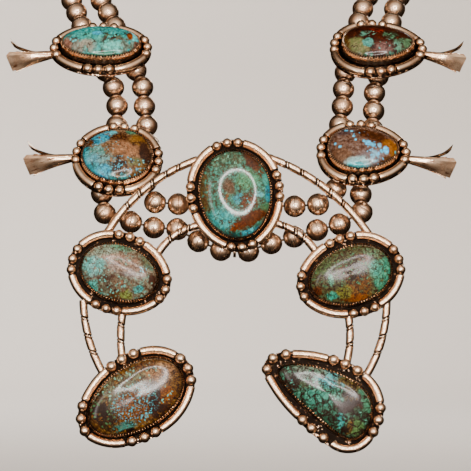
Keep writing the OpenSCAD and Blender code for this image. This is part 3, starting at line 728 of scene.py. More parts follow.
stoneLooks["stone_lower_right"] = {
    "seed": 17.0, "grain": 0.8, "nuggetShading": 0.45, "depth": (0.86, 0.8, 0.8), "satin": 0.17,
    "ground": ((70, 58, 36), (84, 150, 128), (124, 196, 176)),
    "webs": [(0.42, 0.13, 0.75, (62, 34, 14)), (0.9, 0.1, 0.5, (58, 38, 20))],
    "marks": [
        ((0.9, 4.8), (5.3, 3.0), 168, (78, 176, 184), (120, 204, 206), 1, 0.3),
        ((-5.6, 7.5), (5.9, 2.0), 172, (120, 156, 140), (150, 168, 152), 0.9, 0.35),
        ((-11.5, 3.6), (3.3, 2.7), 160, (60, 42, 36), (96, 92, 78), 0.8, 0.3),
        ((-6.9, 3.5), (2.6, 2.3), 159, (84, 96, 72), (110, 132, 106), 0.9, 0.35),
        ((6.8, 2.9), (4.0, 2.7), 150, (112, 104, 60), (134, 122, 78), 0.9, 0.35),
        ((-3.0, -1.7), (4.6, 3.0), 160, (80, 166, 148), (108, 192, 174), 1, 0.3),
        ((4.8, -0.7), (2.6, 2.0), 160, (84, 164, 148), (110, 188, 168), 1, 0.25),
        ((9.4, -2.3), (5.3, 2.0), 150, (76, 40, 16), (104, 62, 26), 1, 0.25),
        ((5.8, -4.7), (4.0, 2.0), 170, (66, 34, 16), (92, 52, 24), 1, 0.25),
        ((8.1, -1.7), (2.6, 1.0), 15, (122, 106, 48), (96, 72, 36), 0.8, 0.3),
        ((12.7, -3.6), (4.0, 1.7), 100, (92, 158, 128), (108, 176, 146), 1, 0.25),
        ((10.0, -7.2), (3.3, 2.3), 0, (54, 54, 38), (84, 120, 92), 0.8, 0.3),
        ((4.5, -8.9), (3.0, 1.2), 98, (60, 160, 156), (84, 188, 182), 1, 0.2),
        ((0.9, -8.8), (2.6, 2.3), 159, (52, 88, 72), (72, 116, 96), 0.9, 0.3),
        ((0.2, -5.3), (3.0, 2.0), 160, (76, 130, 112), (98, 158, 138), 0.7, 0.3),
        ((9.1, -11.4), (3.0, 2.7), 0, (96, 138, 92), (120, 156, 104), 1, 0.3),
        ((7.4, -11.1), (2.7, 1.0), 75, (146, 116, 62), (128, 120, 70), 1, 0.35),
        ((5.8, -12.3), (2.0, 1.3), 90, (40, 34, 28), (66, 60, 44), 0.8, 0.3),
    ],
    "specks": [
        ((-12.2, 3.0), (2.7, 2.6), 90, 1.1, 0.4, 0.5, (86, 170, 176)),
        ((1.5, -2.1), (1.0, 0.8), 0, 0.8, 0.5, 0.2, (150, 206, 208)),
        ((-3.0, 0.9), (7.9, 4.0), 160, 0.8, 0.3, 0.7, (112, 184, 160)),
    ],
}
stoneLooks["blossom_stone_upper_left"] = {
    "seed": 21.0, "grain": 0.8, "nuggetShading": 0.25, "depth": (1.6, 1.55, 1.6), "satin": 0.12,
    "ground": ((44, 120, 116), (62, 152, 148), (96, 176, 164)),
    "webs": [(0.5, 0.11, 0.45, (60, 38, 26)), (1.2, 0.0945, 0.4, (72, 46, 32))],
    "marks": [
        ((-3.6, -1.7), (4.0, 3.9), 0, (52, 148, 142), (86, 176, 162), 1, 0.3),
        ((-0.9, 0.8), (2.0, 1.0), 0, (56, 160, 182), (92, 192, 200), 1, 0.3),
        ((-9.7, -2.1), (3.4, 2.3), 90, (64, 50, 44), (110, 126, 116), 0.85, 0.3),
        ((-11.7, -2.6), (2.9, 2.0), 90, (130, 100, 84), (158, 132, 116), 1, 0.3),
        ((3.9, -1.2), (4.7, 2.4), 163, (62, 58, 44), (96, 116, 96), 0.6, 0.3),
        ((5.9, -3.7), (6.0, 2.4), 172, (66, 50, 42), (112, 108, 96), 0.7, 0.35),
        ((4.3, -4.7), (4.0, 2.4), 0, (88, 170, 160), (116, 190, 178), 1, 0.35),
        ((9.3, -4.2), (3.0, 2.9), 0, (86, 96, 84), (120, 150, 138), 0.8, 0.3),
        ((11.9, 0.9), (2.8, 1.7), 81, (76, 172, 176), (118, 196, 186), 1, 0.25),
        ((9.9, 0.4), (1.9, 1.0), 90, (140, 84, 34), (110, 62, 30), 1, 0.3),
        ((12.6, -1.7), (2.8, 1.4), 80, (104, 84, 72), (130, 104, 88), 0.7, 0.3),
        ((1.2, -7.7), (10.6, 1.2), 0, (42, 126, 108), (72, 156, 132), 1, 0.3),
        ((-5.5, -4.2), (4.0, 2.4), 0, (128, 136, 124), (150, 146, 132), 0.9, 0.35),
    ],
    "specks": [
        ((-9.7, -2.1), (3.4, 2.3), 90, 0.9, 0.45, 0.4, (88, 176, 176)),
        ((5.2, -2.5), (6.6, 2.9), 0, 0.9, 0.4, 0.5, (86, 168, 154)),
    ],
}
stoneLooks["blossom_stone_upper_right"] = {
    "seed": 25.0, "grain": 1.0, "nuggetShading": 0.3, "depth": (1.25, 0.95, 1.0), "satin": 0.15,
    "ground": ((50, 29, 17), (80, 48, 28), (104, 66, 40)),
    "webs": [(0.6, 0.108, 0.438, (38, 22, 14))],
    "marks": [
        ((-0.1, 2.3), (2.7, 1.5), 170, (150, 62, 20), (110, 52, 24), 0.9, 0.4),
        ((1.5, -2.1), (4.2, 2.4), 152, (72, 38, 18), (96, 54, 26), 1, 0.3),
        ((-7.3, -4.5), (4.5, 3.4), 149, (112, 134, 88), (142, 150, 108), 1, 0.25),
        ((-11.0, -2.3), (4.0, 1.3), 96, (104, 86, 44), (128, 112, 60), 0.9, 0.3),
        ((-3.6, -3.8), (2.1, 1.7), 143, (84, 168, 156), (112, 188, 172), 1, 0.2),
        ((-8.0, 7.7), (2.1, 0.9), 33, (84, 142, 118), (112, 160, 132), 0.9, 0.3),
        ((-4.8, 0.8), (1.8, 1.1), 40, (96, 158, 138), (120, 176, 154), 0.7, 0.3),
        ((5.9, -1.2), (4.7, 2.3), 143, (92, 138, 110), (66, 48, 30), 0.75, 0.3),
        ((6.5, -5.1), (2.2, 1.5), 106, (92, 152, 130), (116, 168, 142), 0.8, 0.3),
        ((10.0, -2.8), (2.5, 1.7), 90, (82, 124, 96), (106, 146, 112), 0.9, 0.3),
        ((4.1, -7.7), (1.7, 1.1), 0, (52, 158, 136), (84, 178, 158), 1, 0.2),
        ((-3.6, -8.2), (1.7, 0.8), 0, (48, 128, 108), (72, 152, 128), 0.9, 0.25),
        ((1.7, -5.6), (3.0, 2.0), 0, (124, 104, 98), (142, 122, 114), 0.9, 0.4),
    ],
    "specks": [
        ((-2.8, 0.6), (2.7, 1.5), 19, 1.2, 0.4, 0.45, (120, 182, 162)),
        ((5.9, -1.7), (5.1, 2.7), 141, 0.9, 0.36, 0.5, (104, 160, 132)),
        ((3.8, -6.2), (4.8, 3.4), 156, 0.8, 0.3, 0.65, (110, 178, 168)),
    ],
}
stoneLooks["blossom_stone_lower_left"] = {
    "seed": 29.0, "grain": 1.15, "nuggetShading": 0.5, "depth": (1.0, 1.1, 1.15), "satin": 0.15,
    "ground": ((120, 92, 66), (162, 126, 94), (178, 156, 130)),
    "webs": [(0.75, 0.121, 0.5, (60, 38, 26)), (1.6, 0.0945, 0.438, (84, 56, 38))],
    "marks": [
        ((-11.0, 0.4), (6.5, 2.0), 101, (28, 146, 158), (64, 184, 192), 1, 0.2),
        ((-5.7, 5.2), (4.4, 2.8), 27, (44, 164, 190), (92, 196, 208), 0.88, 0.22),
        ((-2.1, 8.0), (2.3, 1.4), 0, (74, 188, 206), (120, 208, 210), 0.9, 0.25),
        ((-6.9, -1.3), (3.3, 3.0), 90, (96, 150, 140), (140, 178, 168), 0.8, 0.3),
        ((-9.4, 3.8), (2.0, 1.7), 0, (104, 66, 32), (130, 88, 44), 0.85, 0.3),
        ((-7.9, -4.6), (3.7, 3.0), 90, (92, 166, 178), (136, 190, 196), 1, 0.35),
        ((-3.2, -5.5), (3.3, 3.0), 90, (116, 160, 158), (150, 182, 176), 0.9, 0.35),
        ((-7.5, -7.0), (3.2, 1.9), 138, (30, 150, 160), (66, 186, 190), 1, 0.22),
        ((-4.2, -8.7), (3.2, 2.7), 129, (34, 158, 184), (84, 200, 216), 0.95, 0.22),
        ((0.8, -9.9), (3.0, 2.1), 0, (64, 164, 168), (108, 190, 184), 0.8, 0.25),
        ((0.9, 5.3), (3.0, 2.5), 0, (92, 58, 30), (126, 86, 48), 1, 0.3),
        ((4.5, 8.4), (2.0, 1.2), 165, (80, 148, 122), (112, 172, 144), 1, 0.22),
        ((7.2, 4.6), (3.9, 2.7), 134, (136, 96, 42), (160, 124, 68), 1, 0.3),
        ((3.0, 0.0), (5.1, 3.2), 150, (164, 120, 88), (188, 148, 116), 1, 0.35),
        ((9.3, -0.4), (4.9, 2.0), 99, (72, 48, 36), (98, 68, 50), 1, 0.25),
        ((0.5, -6.4), (3.3, 3.0), 90, (62, 44, 36), (96, 74, 56), 0.7, 0.3),
        ((6.4, -5.2), (2.6, 2.5), 0, (122, 116, 76), (142, 140, 100), 0.8, 0.3),
        ((7.1, -7.9), (3.8, 2.0), 34, (132, 96, 44), (152, 118, 66), 1, 0.3),
        ((8.4, -10.3), (3.1, 1.6), 34, (104, 70, 34), (80, 54, 30), 1, 0.3),
    ],
    "specks": [
        ((2.4, -6.3), (4.8, 3.6), 152, 0.95, 0.4, 0.28, (104, 204, 226)),
        ((3.1, -6.6), (5.1, 3.6), 155, 1.5, 0.4, 0.5, (80, 180, 198)),
        ((8.4, -5.2), (2.9, 2.6), 90, 1.0, 0.36, 0.5, (120, 186, 190)),
        ((-4.3, 1.8), (5.3, 4.1), 19, 1.2, 0.36, 0.5, (110, 196, 200)),
        ((-0.2, -9.5), (4.0, 2.1), 0, 1.2, 0.32, 0.7, (30, 22, 18)),
    ],
}
stoneLooks["blossom_stone_lower_right"] = {
    "seed": 33.0, "grain": 1.0, "nuggetShading": 0.25, "depth": (1.0, 1.35, 1.7), "satin": 0.15,
    "ground": ((104, 68, 50), (134, 98, 78), (152, 122, 106)),
    "webs": [(0.5, 0.0675, 0.312, (84, 54, 40))],
    "marks": [
        ((2.8, 3.4), (9.1, 2.5), 150, (88, 48, 24), (112, 66, 36), 1, 0.35),
        ((-5.1, 5.3), (3.3, 1.8), 16, (104, 76, 66), (128, 100, 90), 1, 0.35),
        ((9.0, -1.7), (4.0, 3.0), 90, (146, 88, 26), (168, 110, 44), 1, 0.3),
        ((-7.6, -5.9), (4.5, 3.5), 121, (112, 72, 44), (140, 100, 72), 1, 0.35),
        ((3.9, -6.7), (6.0, 3.1), 172, (134, 108, 100), (154, 130, 122), 1, 0.35),
        ((7.9, -6.8), (3.4, 1.5), 26, (122, 76, 30), (98, 58, 28), 0.9, 0.3),
        ((-2.0, -8.3), (4.6, 2.2), 0, (150, 170, 160), (172, 188, 176), 0.9, 0.35),
        ((-2.7, -8.6), (3.0, 0.9), 173, (72, 164, 160), (108, 190, 182), 1, 0.25),
        ((1.2, -0.9), (1.2, 1.1), 90, (84, 180, 206), (116, 200, 218), 1, 0.22),
        ((3.0, -1.5), (1.0, 0.9), 90, (96, 176, 192), (128, 196, 206), 1, 0.3),
        ((5.2, -1.6), (1.1, 0.7), 90, (130, 170, 178), (150, 186, 190), 1, 0.35),
        ((7.3, -3.1), (1.6, 1.0), 90, (80, 180, 208), (112, 202, 222), 1, 0.22),
        ((5.8, -3.8), (0.8, 0.6), 90, (92, 180, 196), (120, 200, 212), 1, 0.3),
        ((3.6, -5.7), (1.8, 1.3), 90, (128, 164, 170), (150, 180, 184), 0.8, 0.4),
        *((at, size, turn, (84, 186, 206), (110, 204, 220), 1, 0.3) for at, size, turn in (
            ((0.1, 0.1), (0.6, 0.5), 90), ((-2.7, 0.7), (0.5, 0.4), 90),
            ((-3.2, 2.4), (0.5, 0.5), 90), ((-5.7, 5.8), (0.6, 0.5), 0),
            ((-3.9, 5.3), (0.5, 0.5), 0), ((-9.5, -0.0), (0.5, 0.4), 90),
            ((-7.9, -1.7), (0.5, 0.5), 90))),
        ((10.5, -2.8), (0.6, 0.3), 90, (84, 176, 166), (110, 194, 190), 1, 0.3),
    ],
    "specks": [
        ((-1.2, 3.3), (4.0, 1.8), 168, 0.9, 0.34, 0.45, (96, 190, 206)),
        ((4.0, -3.4), (5.0, 3.7), 138, 0.8, 0.32, 0.45, (104, 178, 196)),
        ((2.6, -8.1), (2.7, 2.6), 90, 0.9, 0.3, 0.6, (110, 184, 196)),
    ],
}
# edge: the colour of the painted shadow round each stone's girdle, under the bezel's teeth
stonePaint = {"seams": 0.5, "vein": (58, 38, 24), "edge": (34, 24, 18), "gamma": 1.45, "ior": 1.5}


def stoneMaterial(name, look):
    p = Paint(bpy.data.materials.new(name))
    uv = p.node("ShaderNodeUVMap", uv_map="cut").outputs["UV"]
    place = p.vector("SCALE", p.vector("SUBTRACT", uv, (0.5, 0.5, 0)), scale=stoneCut["sheet"])
    place = p.vector("ADD", place, (0, 0, look["seed"]))
    wide = p.sway(place, 0.35, 2, 2.6)
    near = p.sway(place, 1.3, 3, 1.3)
    slight = p.vector("ADD", place, p.vector("SCALE", near, scale=0.4))
    bent = p.vector("ADD", p.vector("ADD", place, wide), near)
    tone = p.noise(place, 0.9, 5, 0.62)
    grainCells = p.cells(bent, look["grain"])
    grain = p.node("ShaderNodeSeparateColor", Color=grainCells.outputs["Color"])
    hue = grain.outputs["Green"]
    grain = grain.outputs["Red"]
    low, mid, high = (tint(*c) for c in look["ground"])
    colour = p.mix(p.fit(tone, 0.41, 0.49), low, mid)
    colour = p.mix(p.fit(tone, 0.53, 0.62), colour, high)
    for at, size, turn, first, second, cover, soft in look["marks"]:
        around = bent if min(size) > 1 else slight  # small marks stay where they are
        inside = p.ellipse(around, (*at, look["seed"]), size, turn, 1 - soft, 1 + soft)
        if cover < 1:
            inside = p.number("MULTIPLY", inside, p.fit(grain, cover - 0.04, cover + 0.04, 1.0, 0.0))
        patch = p.mix(p.fit(p.number("ADD", tone, p.number("MULTIPLY", hue, 0.25)), 0.45, 0.8),
                      tint(*first), tint(*second))
        colour = p.mix(inside, colour, patch)
    # painted shading of soft nuggets: each cell a little lighter in its middle and darker towards its edge
    paintedDomeShade = p.fit(grainCells.outputs["Distance"], 0.1, 0.75, 1.12, 0.78)
    colour = p.mix(look["nuggetShading"], colour, p.vector("SCALE", colour, scale=paintedDomeShade))
    seams = p.cells(bent, look["grain"], "DISTANCE_TO_EDGE")
    gaps = p.number("MULTIPLY", p.fit(seams.outputs["Distance"], 0.0, 0.13, 1.0, 0.0),
                    p.fit(p.noise(place, 0.7, 2), 0.38, 0.6, 0.15, stonePaint["seams"]))
    colour = p.mix(gaps, colour, tint(*stonePaint["vein"]))
    for scale, width, share, vein in look["webs"]:
        web = p.cells(bent, scale, "DISTANCE_TO_EDGE")
        line = p.fit(web.outputs["Distance"], 0.0, width, 1.0, 0.0)
        broken = p.fit(p.noise(place, 0.45, 2), 1 - share - 0.12, 1 - share + 0.12)
        colour = p.mix(p.number("MULTIPLY", line, broken), colour, tint(*vein))
    for at, size, turn, scale, dot, share, speck in look["specks"]:
        inside = p.ellipse(bent, (*at, look["seed"]), size, turn, 0.8, 1.15)
        spots = p.cells(p.vector("ADD", place, near), scale)
        chosen = p.node("ShaderNodeSeparateColor", Color=spots.outputs["Color"]).outputs["Blue"]
        spot = p.number("MULTIPLY", p.fit(spots.outputs["Distance"], dot * 0.75, dot, 1.0, 0.0),
                        p.fit(chosen, share - 0.02, share + 0.02, 1.0, 0.0))
        colour = p.mix(p.number("MULTIPLY", inside, spot), colour, tint(*speck))
    fine = p.noise(place, 6.0, 3)
    colour = p.mix(0.5, colour, p.vector("SCALE", colour, scale=p.fit(fine, 0.3, 0.7, 0.75, 1.25)))
    colour = p.node("ShaderNodeGamma", Color=colour, Gamma=stonePaint["gamma"]).outputs[0]
    colour = p.vector("MULTIPLY", colour, look["depth"])
    # painted shadow: dark brown round the girdle, where the stone meets the bezel
    colour = p.mix(p.number("MULTIPLY", p.layer("mark"), 0.9), colour, tint(*stonePaint["edge"]))
    p.feed(p.shader.inputs["Base Color"], colour)
    p.feed(p.shader.inputs["Roughness"], p.fit(tone, 0.3, 0.75, look["satin"] * 0.85, look["satin"] * 1.15))
    p.shader.inputs["IOR"].default_value = stonePaint["ior"]
    p.bump(p.noise(place, 0.8, 3), 0.1, 0.0001)
    return p.owner


stones = {}
stoneRows = {name: (row, najaPlace) for name, row in najaSettings.items()}
for side, row in blossoms.items():
    stoneRows["blossom_stone_" + side] = (row["stone"], blossomPlace(row))
for name, (row, place) in stoneRows.items():
    part = addStone(row, stoneRidges[name])
    sheet = part.loops.layers.uv.new("cut")
    for face in part.faces:
        for loop in face.loops:
            loop[sheet].uv = [(loop.vert.co[k] - row["at"][k]) / stoneCut["sheet"] + 0.5 for k in (0, 1)]
    stones[name] = newPiece(name.title().replace("_", "") + "Cut", part, place,
                            stoneMaterial(name, stoneLooks[name]), [name], sharp=60)
print("stones cut")

metal = newMetal()
for row in najaSettings.values():
    addSetting(metal, row)


def ontoNaja(x, y, z):
    lean = math.radians(najaLean)
    return Vector((x, y * math.sin(lean) + z * math.cos(lean), -y * math.cos(lean) + z * math.sin(lean)))


najaBack = {"bail": (0, 5.3, 9.9), "eye": (-0.3, 3.7, -5.2)}
addBail(metal, ontoNaja(*najaBack["bail"]), (1, 0, 0), dict(bailShape, length=12, web=(6, -1, 1, 1.3)))
addBail(metal, ontoNaja(*najaBack["eye"]), (1, 0, 0),
        dict(bailShape, length=1.0, outer=4.2, bore=2.6, web=(0.5, 0.1, 2.1, 1.5)))
najaStones = [stones[name].data for name in najaSettings]
najaMetal = newPiece("NajaSettings", metal, najaPlace, warmSilver, ["naja"])
keepOxideAndShade(najaMetal.data, najaStones, oxideAndShadeRays["settings"])

# Wires: an end, a point on the way and the other end; then the places of their saw cuts
najaWires = [
    ((-13.9, 24.5), (-29.2, 15.8), (-41.7, 1.7), (6.5, 11.2, 16.5, 22.0, 27.5)),
    ((12.1, 25.3), (29.2, 15.9), (43.0, 1.6), (6.5, 12.0, 18.0, 23.5, 29.0)),
    ((-13.3, 2.9), (-19.2, 0.4), (-24.9, -5.1), (3.4, 6.5, 10.4)),
    ((14.1, 3.7), (20.1, 0.9), (25.7, -4.3), (3.2, 7.4, 10.8)),
    ((-50.0, -23.1), (-48.3, -34.0), (-44.3, -44.2), (5.6, 11.5, 17.2)),
    ((-37.3, -26.9), (-37.7, -34.1), (-37.1, -41.5), (3.9, 9.3)),
    ((37.3, -27.9), (37.6, -34.6), (36.7, -41.3), (3.8, 9.4)),
    ((49.7, -23.5), (48.2, -34.0), (43.9, -44.7), (5.4, 11.2, 17.0)),
]
# Two cuts at each place: how far on, depth (share of the radius), half width and slant
wire = {"high": 1.35, "thick": 2.7, "more": 1.5, "sides": 16, "step": 0.16,
        "cuts": ((0, 0.26, 0.32, 0.5), (1.0, 0.2, 0.28, 0.5))}
metal = newMetal()
for k, (*ends, cuts) in enumerate(najaWires):
    notches = [(at + further, *cut) for at in cuts for further, *cut in wire["cuts"]]
    addTo(metal, bentTube([Vector(end) for end in ends], wire["high"], wire["thick"], wire["more"],
                          wire["sides"], wire["step"], notches, seed=k * 3.1))
najaWire = newPiece("NajaWires", metal, najaPlace, warmSilver, ["naja"])
keepOxideAndShade(najaWire.data, [najaMetal.data], oxideAndShadeRays["wires"])
print("naja made")

# The trumpet is bent to flat facets between corners (direction, share of the radius). A petal: direction,
# its width to either side, how far down it reaches, how far it curls out and how much its end slants
hornShape = {"neck": 2.4, "flare": 0.29, "wall": 0.4, "slit": 0.45, "depth": 0.2, "high": 1.7,
             "around": 120, "rings": 26, "uneven": 0.06, "facetsFrom": 1.3, "petalEnd": 28, "curlEase": 0.26,
             "lipThinner": 0.25, "frontPaintedShade": 0.16, "patchesDark": 0.42,
             "corners": ((66, 1.04), (126, 1.16), (150, 1.04), (246, 1.08), (294, 1.04), (366, 1.0),
                         (426, 1.04)),
             "petals": ((90, 36, 36, 0.77, 7.8, 0.06), (150, 24, 111, 1.0, 0.3, 0.15),
                        (288, 27, 36, 0.74, 1.6, 0.0), (27, 63, 27, 0.75, 4.5, 0.2))}


def facetOf(seen):
    corners = hornShape["corners"]
    seen = (seen - corners[0][0]) % 360 + corners[0][0]
    for (a, r), (b, q) in zip(corners, corners[1:]):
        if seen <= b:
            return r * q * math.sin(math.radians(b - a)) / (r * math.sin(math.radians(seen - a))
                                                            + q * math.sin(math.radians(b - seen)))


def hornPoint(length, share, seen, wall):
    h = hornShape
    reach, curl = 0.0, 0.0
    for facing, before, after, far, out, slant in h["petals"]:
        off = (seen - facing + 540) % 360 - 180
        away = off / after if off > 0 else -off / before
        if away < 1:
            reach = far * (1 - slant * away) * math.sqrt(1 - away ** h["petalEnd"])
            curl = out * (1 - h["curlEase"] * away * away)
    down = share * (h["slit"] + reach * (1 - h["slit"]))
    lip = max(0.0, down - h["slit"]) / (1 - h["slit"])
    bent = 1 + min(1, down * h["facetsFrom"]) * (facetOf(seen) - 1)
    r = (h["neck"] + h["flare"] * length * down) / 2 * bent + curl * lip ** 2
    r -= wall * (1 - h["lipThinner"] * share * share)
    a = math.radians(seen)
    return length * down, r * math.cos(a), r * math.sin(a)


def addHorn(metal, row, side):
    h = hornShape
    length = row["horn"]["length"]
    shares = [k / h["rings"] for k in range(h["rings"] + 1)]
    rings = [lambda seen: (0, 0, 0)]
    rings += [lambda seen, s=s: hornPoint(length, s, seen, 0) for s in shares]
    rings += [lambda seen, s=1 - s * (1 - h["depth"]): hornPoint(length, s, seen, h["wall"]) for s in shares]
    rings += [lambda seen: (length * h["depth"], 0, 0)]
    part = lofted(rings, h["around"])
    mark = part.verts.layers.float["mark"]
    for v in part.verts:
        front = -v.co.y / max(0.1, math.hypot(v.co.y, v.co.z))
        patches = noise.noise(Vector((v.co.x * 0.4, v.co.y * 1.3, v.co.z * 1.3 + length)))
        # painted shade: the lower front of the trumpet is darker
        v[mark] = (h["frontPaintedShade"] * (front > 0.6 and v.co.z < 0.45 * -v.co.y)
                   + h["patchesDark"] * patches)
        at = v.co * 0.42 + Vector((side * 7, length, 0))
        v.co += h["uneven"] * Vector([noise.noise(at + Vector((31 * k, 0, 0))) for k in range(3)])
    root = row["horn"]["root"]
    place = (Matrix.Translation((*root, h["high"]))
             @ Matrix.Rotation(math.radians(row["tilt"] - 90), 4, "X")
             @ Matrix.Rotation(math.radians(side * row["horn"]["droop"]), 4, "Y"))
    if side < 0:
        place = place @ Matrix.Scale(-1, 4, (1, 0, 0))
    bmesh.ops.transform(part, matrix=place, verts=part.verts)
    bmesh.ops.recalc_face_normals(part, faces=part.faces)
    addTo(metal, part)


for name, row in blossoms.items():
    metal = newMetal()
    addSetting(metal, row["stone"])
    addHorn(metal, row, -1 if row["place"][0] < 0 else 1)
    for middle, way in row["bails"]:
        addBail(metal, middle, way, bailShape)
    piece = newPiece("Blossom" + name.title().replace("_", ""), metal, blossomPlace(row), warmSilver,
                     ["blossom_" + name])
    keepOxideAndShade(piece.data, [stones["blossom_stone_" + name].data], oxideAndShadeRays["settings"])
print("blossoms made")

bead = {"radius": 3.75, "hole": 1.1, "collar": 1.42, "collarTop": 3.6, "seamWide": 0.13, "seamDeep": 0.07,
        "holeEnd": 2.4, "around": 24, "rows": 7, "turn": 1.7, "size": 0.993, "sizeWave": 0.012,
        "ownStep": 1.37, "lowest": (0, -0.162, -0.113)}


def beadShape():
    b = bead
    radius, collar, top = b["radius"], b["collar"], b["collarTop"]
    half = [(b["hole"], b["holeEnd"]), (b["hole"], top - 0.14), (b["hole"] + 0.1, top),
            (collar - 0.04, top), (collar + 0.05, math.sqrt(radius ** 2 - collar ** 2) - 0.02)]
    first = math.asin((collar + 0.1) / radius)
    last = math.pi / 2 - b["seamWide"] / radius
    for k in range(b["rows"] + 1):
        a = first + (last - first) * k / b["rows"]
        half.append((radius * math.sin(a), radius * math.cos(a)))
    half.append((radius - b["seamDeep"], 0.03))
    return spunProfile(half + [(x, -z) for x, z in reversed(half)], b["around"])


# The middle of each bead in the frame's solids, from the lowest bead up to the nape
def middlesOf(node):
    source = bmesh.new()
    source.from_mesh(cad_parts[node].data)
    bmesh.ops.remove_doubles(source, verts=source.verts, dist=1e-6)
    seen = set()
    middles = []
    for v in source.verts:
        if v in seen:
            continue
        low, high = v.co.copy(), v.co.copy()
        waiting = [v]
        seen.add(v)
        while waiting:
            w = waiting.pop()
            low = Vector(map(min, low, w.co))
            high = Vector(map(max, high, w.co))
            for e in w.link_edges:
                other = e.other_vert(w)
                if other not in seen:
                    seen.add(other)
                    waiting.append(other)
        middles.append((low + high) / 2)
    source.free()
    here = Vector(bead["lowest"])
    ordered = []
    while middles:
        here = min(middles, key=lambda p: (p - here).length)
        middles.remove(here)
        ordered.append(here)
    return ordered


beadMesh = meshOf("bead", beadShape())
for node in ("beads_inner_left", "beads_outer_left", "beads_inner_right", "beads_outer_right"):
    middles = middlesOf(node)
    string = bmesh.new()
    axial, own = [], []
    for i, middle in enumerate(middles):
        before = middles[i - 1] if i else middle * 2 - middles[i + 1]
        after = middles[i + 1] if i + 1 < len(middles) else middle * 2 - middles[i - 1]
        come, go = (middle - before).normalized(), (after - middle).normalized()
        way = (come + go).normalized()
        half = come.angle(go) / 2
        side = way.cross(go)
        side = side.normalized() if side.length > 1e-6 else way.orthogonal().normalized()
        base = Vector((0, 0, 1)).rotation_difference(way).to_matrix().to_4x4()
        spinOwn = Matrix.Rotation(i * bead["turn"], 4, "Z")
        size = mm * (bead["size"] + bead["sizeWave"] * noise.noise(Vector((i * 3.3, 0.5, 0))))
        copy = bmesh.new()
        copy.from_mesh(beadMesh)
        for v in copy.verts:
            axial.append(v.co.z)
            own.append(i * bead["ownStep"])
            p = (base @ spinOwn) @ v.co
            if half > 0.1:  # the two ends of the hole follow the thread round a sharp turn
                up = max(-1, min(1, v.co.z / bead["collarTop"]))
                p = Matrix.Rotation(half * math.sin(math.pi / 2 * up), 4, side) @ p
            v.co = p * size + middle
        addTo(string, copy)
    piece = newPiece(node.title().replace("_", ""), string, Matrix.Identity(4), beadSilver,
                     [node])
    for name, values in (("axial", axial), ("own", own)):
        layer = piece.data.attributes.new(name, "FLOAT", "POINT")
        layer.data.foreach_set("value", values)
bpy.data.meshes.remove(beadMesh)
print("beads strung")

# The threads and the clasp are the frame's own solids with finishes
threadLook = {"dark": (62, 47, 36), "light": (112, 90, 70)}


def threadMaterial():
    p = Paint(bpy.data.materials.new("waxed thread"))
    place = p.place()
    strands = p.noise(place, 2200, 3)
    p.feed(p.shader.inputs["Base Color"], p.mix(p.fit(strands, 0.35, 0.7), tint(*threadLook["dark"]),
                                                tint(*threadLook["light"])))
    p.shader.inputs["Roughness"].default_value = 0.7
    p.bump(strands, 0.6, 0.0002)
    return p.owner


def claspMaterial():
    p = Paint(bpy.data.materials.new("clasp silver"))
    place = p.place()
    mottle = p.noise(place, 300, 4)
    p.feed(p.shader.inputs["Base Color"], p.metal(mottle, silverLook["bright"], silverLook["warm"]))
    p.feed(p.shader.inputs["Roughness"], p.fit(mottle, 0.3, 0.75, 0.2, 0.34))
    p.bump(mottle, 0.3, 0.0001)
    return p.owner


for nodes, material in ((("thread_inner", "thread_outer"), threadMaterial()), (("clasp",), claspMaterial())):
    for node in nodes:
        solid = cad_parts[node]
        for own in solid.material_slots:
            own.material = material
print("thread and clasp finished")

studio = {"floor": -0.30, "front": -2.5, "wall": 3.6, "bend": 0.4, "high": 1.6, "halfWide": 2.5, "steps": 8,
          "floorColour": (214, 209, 203), "ringRadius": (0.41, 0.475), "ringAround": 72,
          "ringAt": (0.1, -1.52, 0.28), "ringGlow": 42.0, "camera": (0, -1.467, -0.118), "lens": 301.2,
          "sensor": 36, "clip": 20}


def plainMaterial(name, colour, glow=0.0):
    p = Paint(bpy.data.materials.new(name))
    p.shader.inputs["Base Color"].default_value = tint(*colour)
    p.shader.inputs["Roughness"].default_value = 0.9
    if glow:
        p.shader.inputs["Emission Color"].default_value = (1, 0.95, 0.9, 1)
        p.shader.inputs["Emission Strength"].default_value = glow
    return p.owner


part = bmesh.new()
steps, bend = studio["steps"], studio["bend"]
bmesh.ops.create_grid(part, x_segments=1, y_segments=3 * steps, size=1)
for v in part.verts:
    t = (v.co.y + 1) / 2 * 3 * steps
    if t < steps:
        y = studio["front"] + t / steps * (studio["wall"] - bend - studio["front"])
        z = studio["floor"]
    elif t < 2 * steps:
        a = (t - steps) / steps * math.pi / 2
        y, z = studio["wall"] - bend + bend * math.sin(a), studio["floor"] + bend - bend * math.cos(a)
    else:
        y, z = studio["wall"], studio["floor"] + bend + (t - 2 * steps) / steps * studio["high"]
    v.co = (v.co.x * studio["halfWide"], y, z)
floorMesh = meshOf("Floor", part)
floorMesh.shade_smooth()
floorMesh.materials.append(plainMaterial("pale floor", studio["floorColour"]))
floorObject = placed("Floor", floorMesh)

part = bmesh.new()
for radius in studio["ringRadius"]:
    bmesh.ops.create_circle(part, segments=studio["ringAround"], radius=radius)
bmesh.ops.bridge_loops(part, edges=part.edges[:])
bmesh.ops.transform(part, matrix=Matrix.Translation(studio["ringAt"]) @ Matrix.Rotation(math.pi / 2, 4, "X"),
                    verts=part.verts)
ringMesh = meshOf("RingLight", part)
ringMesh.materials.append(plainMaterial("ring light", (255, 255, 255), studio["ringGlow"]))
ringLight = placed("RingLight", ringMesh)
floorObject.visible_glossy = False  # the silver mirrors a dim warm room, as on dark cloth
ringLight.visible_camera = False

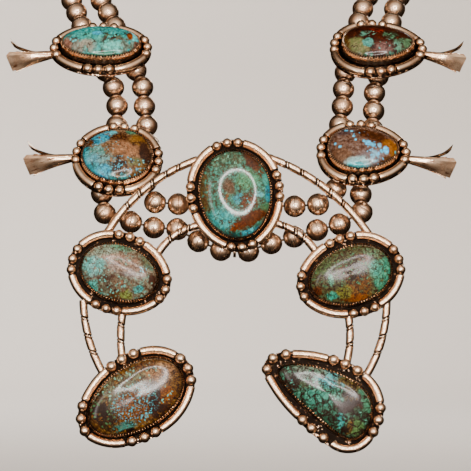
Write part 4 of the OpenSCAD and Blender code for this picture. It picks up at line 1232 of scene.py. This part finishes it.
softLights = [  # place, aimed at, width, height, power, colour, whether the silver mirrors it
    ((-0.78, -1.32, 0.0), (0, -0.15, -0.1), 0.2, 0.9, 2.2, (1, 0.96, 0.92), True),
    ((0.4, -0.9, 0.9), (0, -0.15, -0.1), 0.5, 0.5, 10, (1, 0.96, 0.92), False),
    ((-0.6, 2.7, 1.3), (0, 3.3, -0.2), 1.2, 1.2, 46, (1, 0.98, 0.96), False),  # on the backdrop
    ((0.7, 2.3, 0.8), (0, -0.1, -0.1), 0.8, 0.8, 9, (1, 0.96, 0.92), True),  # on the back of the necklace
]
for k, (at, aim, width, height, power, colour, mirrored) in enumerate(softLights):
    lamp = bpy.data.lights.new("Soft%d" % k, "AREA")
    lamp.shape = "RECTANGLE"
    lamp.size, lamp.size_y, lamp.energy, lamp.color = width, height, power, colour
    holder = placed("Soft%d" % k, lamp)
    holder.location = at
    holder.rotation_euler = (Vector(aim) - Vector(at)).to_track_quat("-Z", "Y").to_euler()
    holder.visible_glossy = mirrored

# A warm room: light on the camera's side and above, dark behind the necklace and below, a little lighter at
# both sides
roomLook = {"towards": (0, -0.435, 0.25), "sides": 0.12, "glow": 1.25,
            "ends": ((0.5, (0.01, 0.007, 0.005, 1)), (1.0, (1.0, 0.84, 0.7, 1))),
            "between": ((0.68, (0.06, 0.042, 0.03, 1)), (0.8, (0.2, 0.15, 0.115, 1)),
                        (0.9, (0.54, 0.43, 0.35, 1)))}
world = bpy.data.worlds.new("room")
room = Paint(world, "Background")
seen = room.node("ShaderNodeTexCoord").outputs["Generated"]
facing = room.vector("DOT_PRODUCT", seen, roomLook["towards"])
aside = room.number("ABSOLUTE", room.node("ShaderNodeSeparateXYZ", Vector=seen).outputs["X"])
facing = room.number("MULTIPLY_ADD", aside, roomLook["sides"], room.number("ADD", facing, 0.5))
fall = room.tree.nodes.new("ShaderNodeValToRGB")
for stop, (at, colour) in zip(fall.color_ramp.elements, roomLook["ends"]):
    stop.position, stop.color = at, colour
for at, colour in roomLook["between"]:
    fall.color_ramp.elements.new(at).color = colour
room.feed(fall.inputs["Fac"], facing)
room.feed(room.shader.inputs["Color"], fall.outputs["Color"])
room.shader.inputs["Strength"].default_value = roomLook["glow"]
bpy.context.scene.world = world

lens = bpy.data.cameras.new("Camera")
lens.lens, lens.sensor_width = studio["lens"], studio["sensor"]
lens.clip_end = studio["clip"]
camera = placed("Camera", lens)
camera.location = studio["camera"]
camera.rotation_euler = (math.radians(90), 0, 0)
bpy.context.scene.camera = camera
print("studio set")
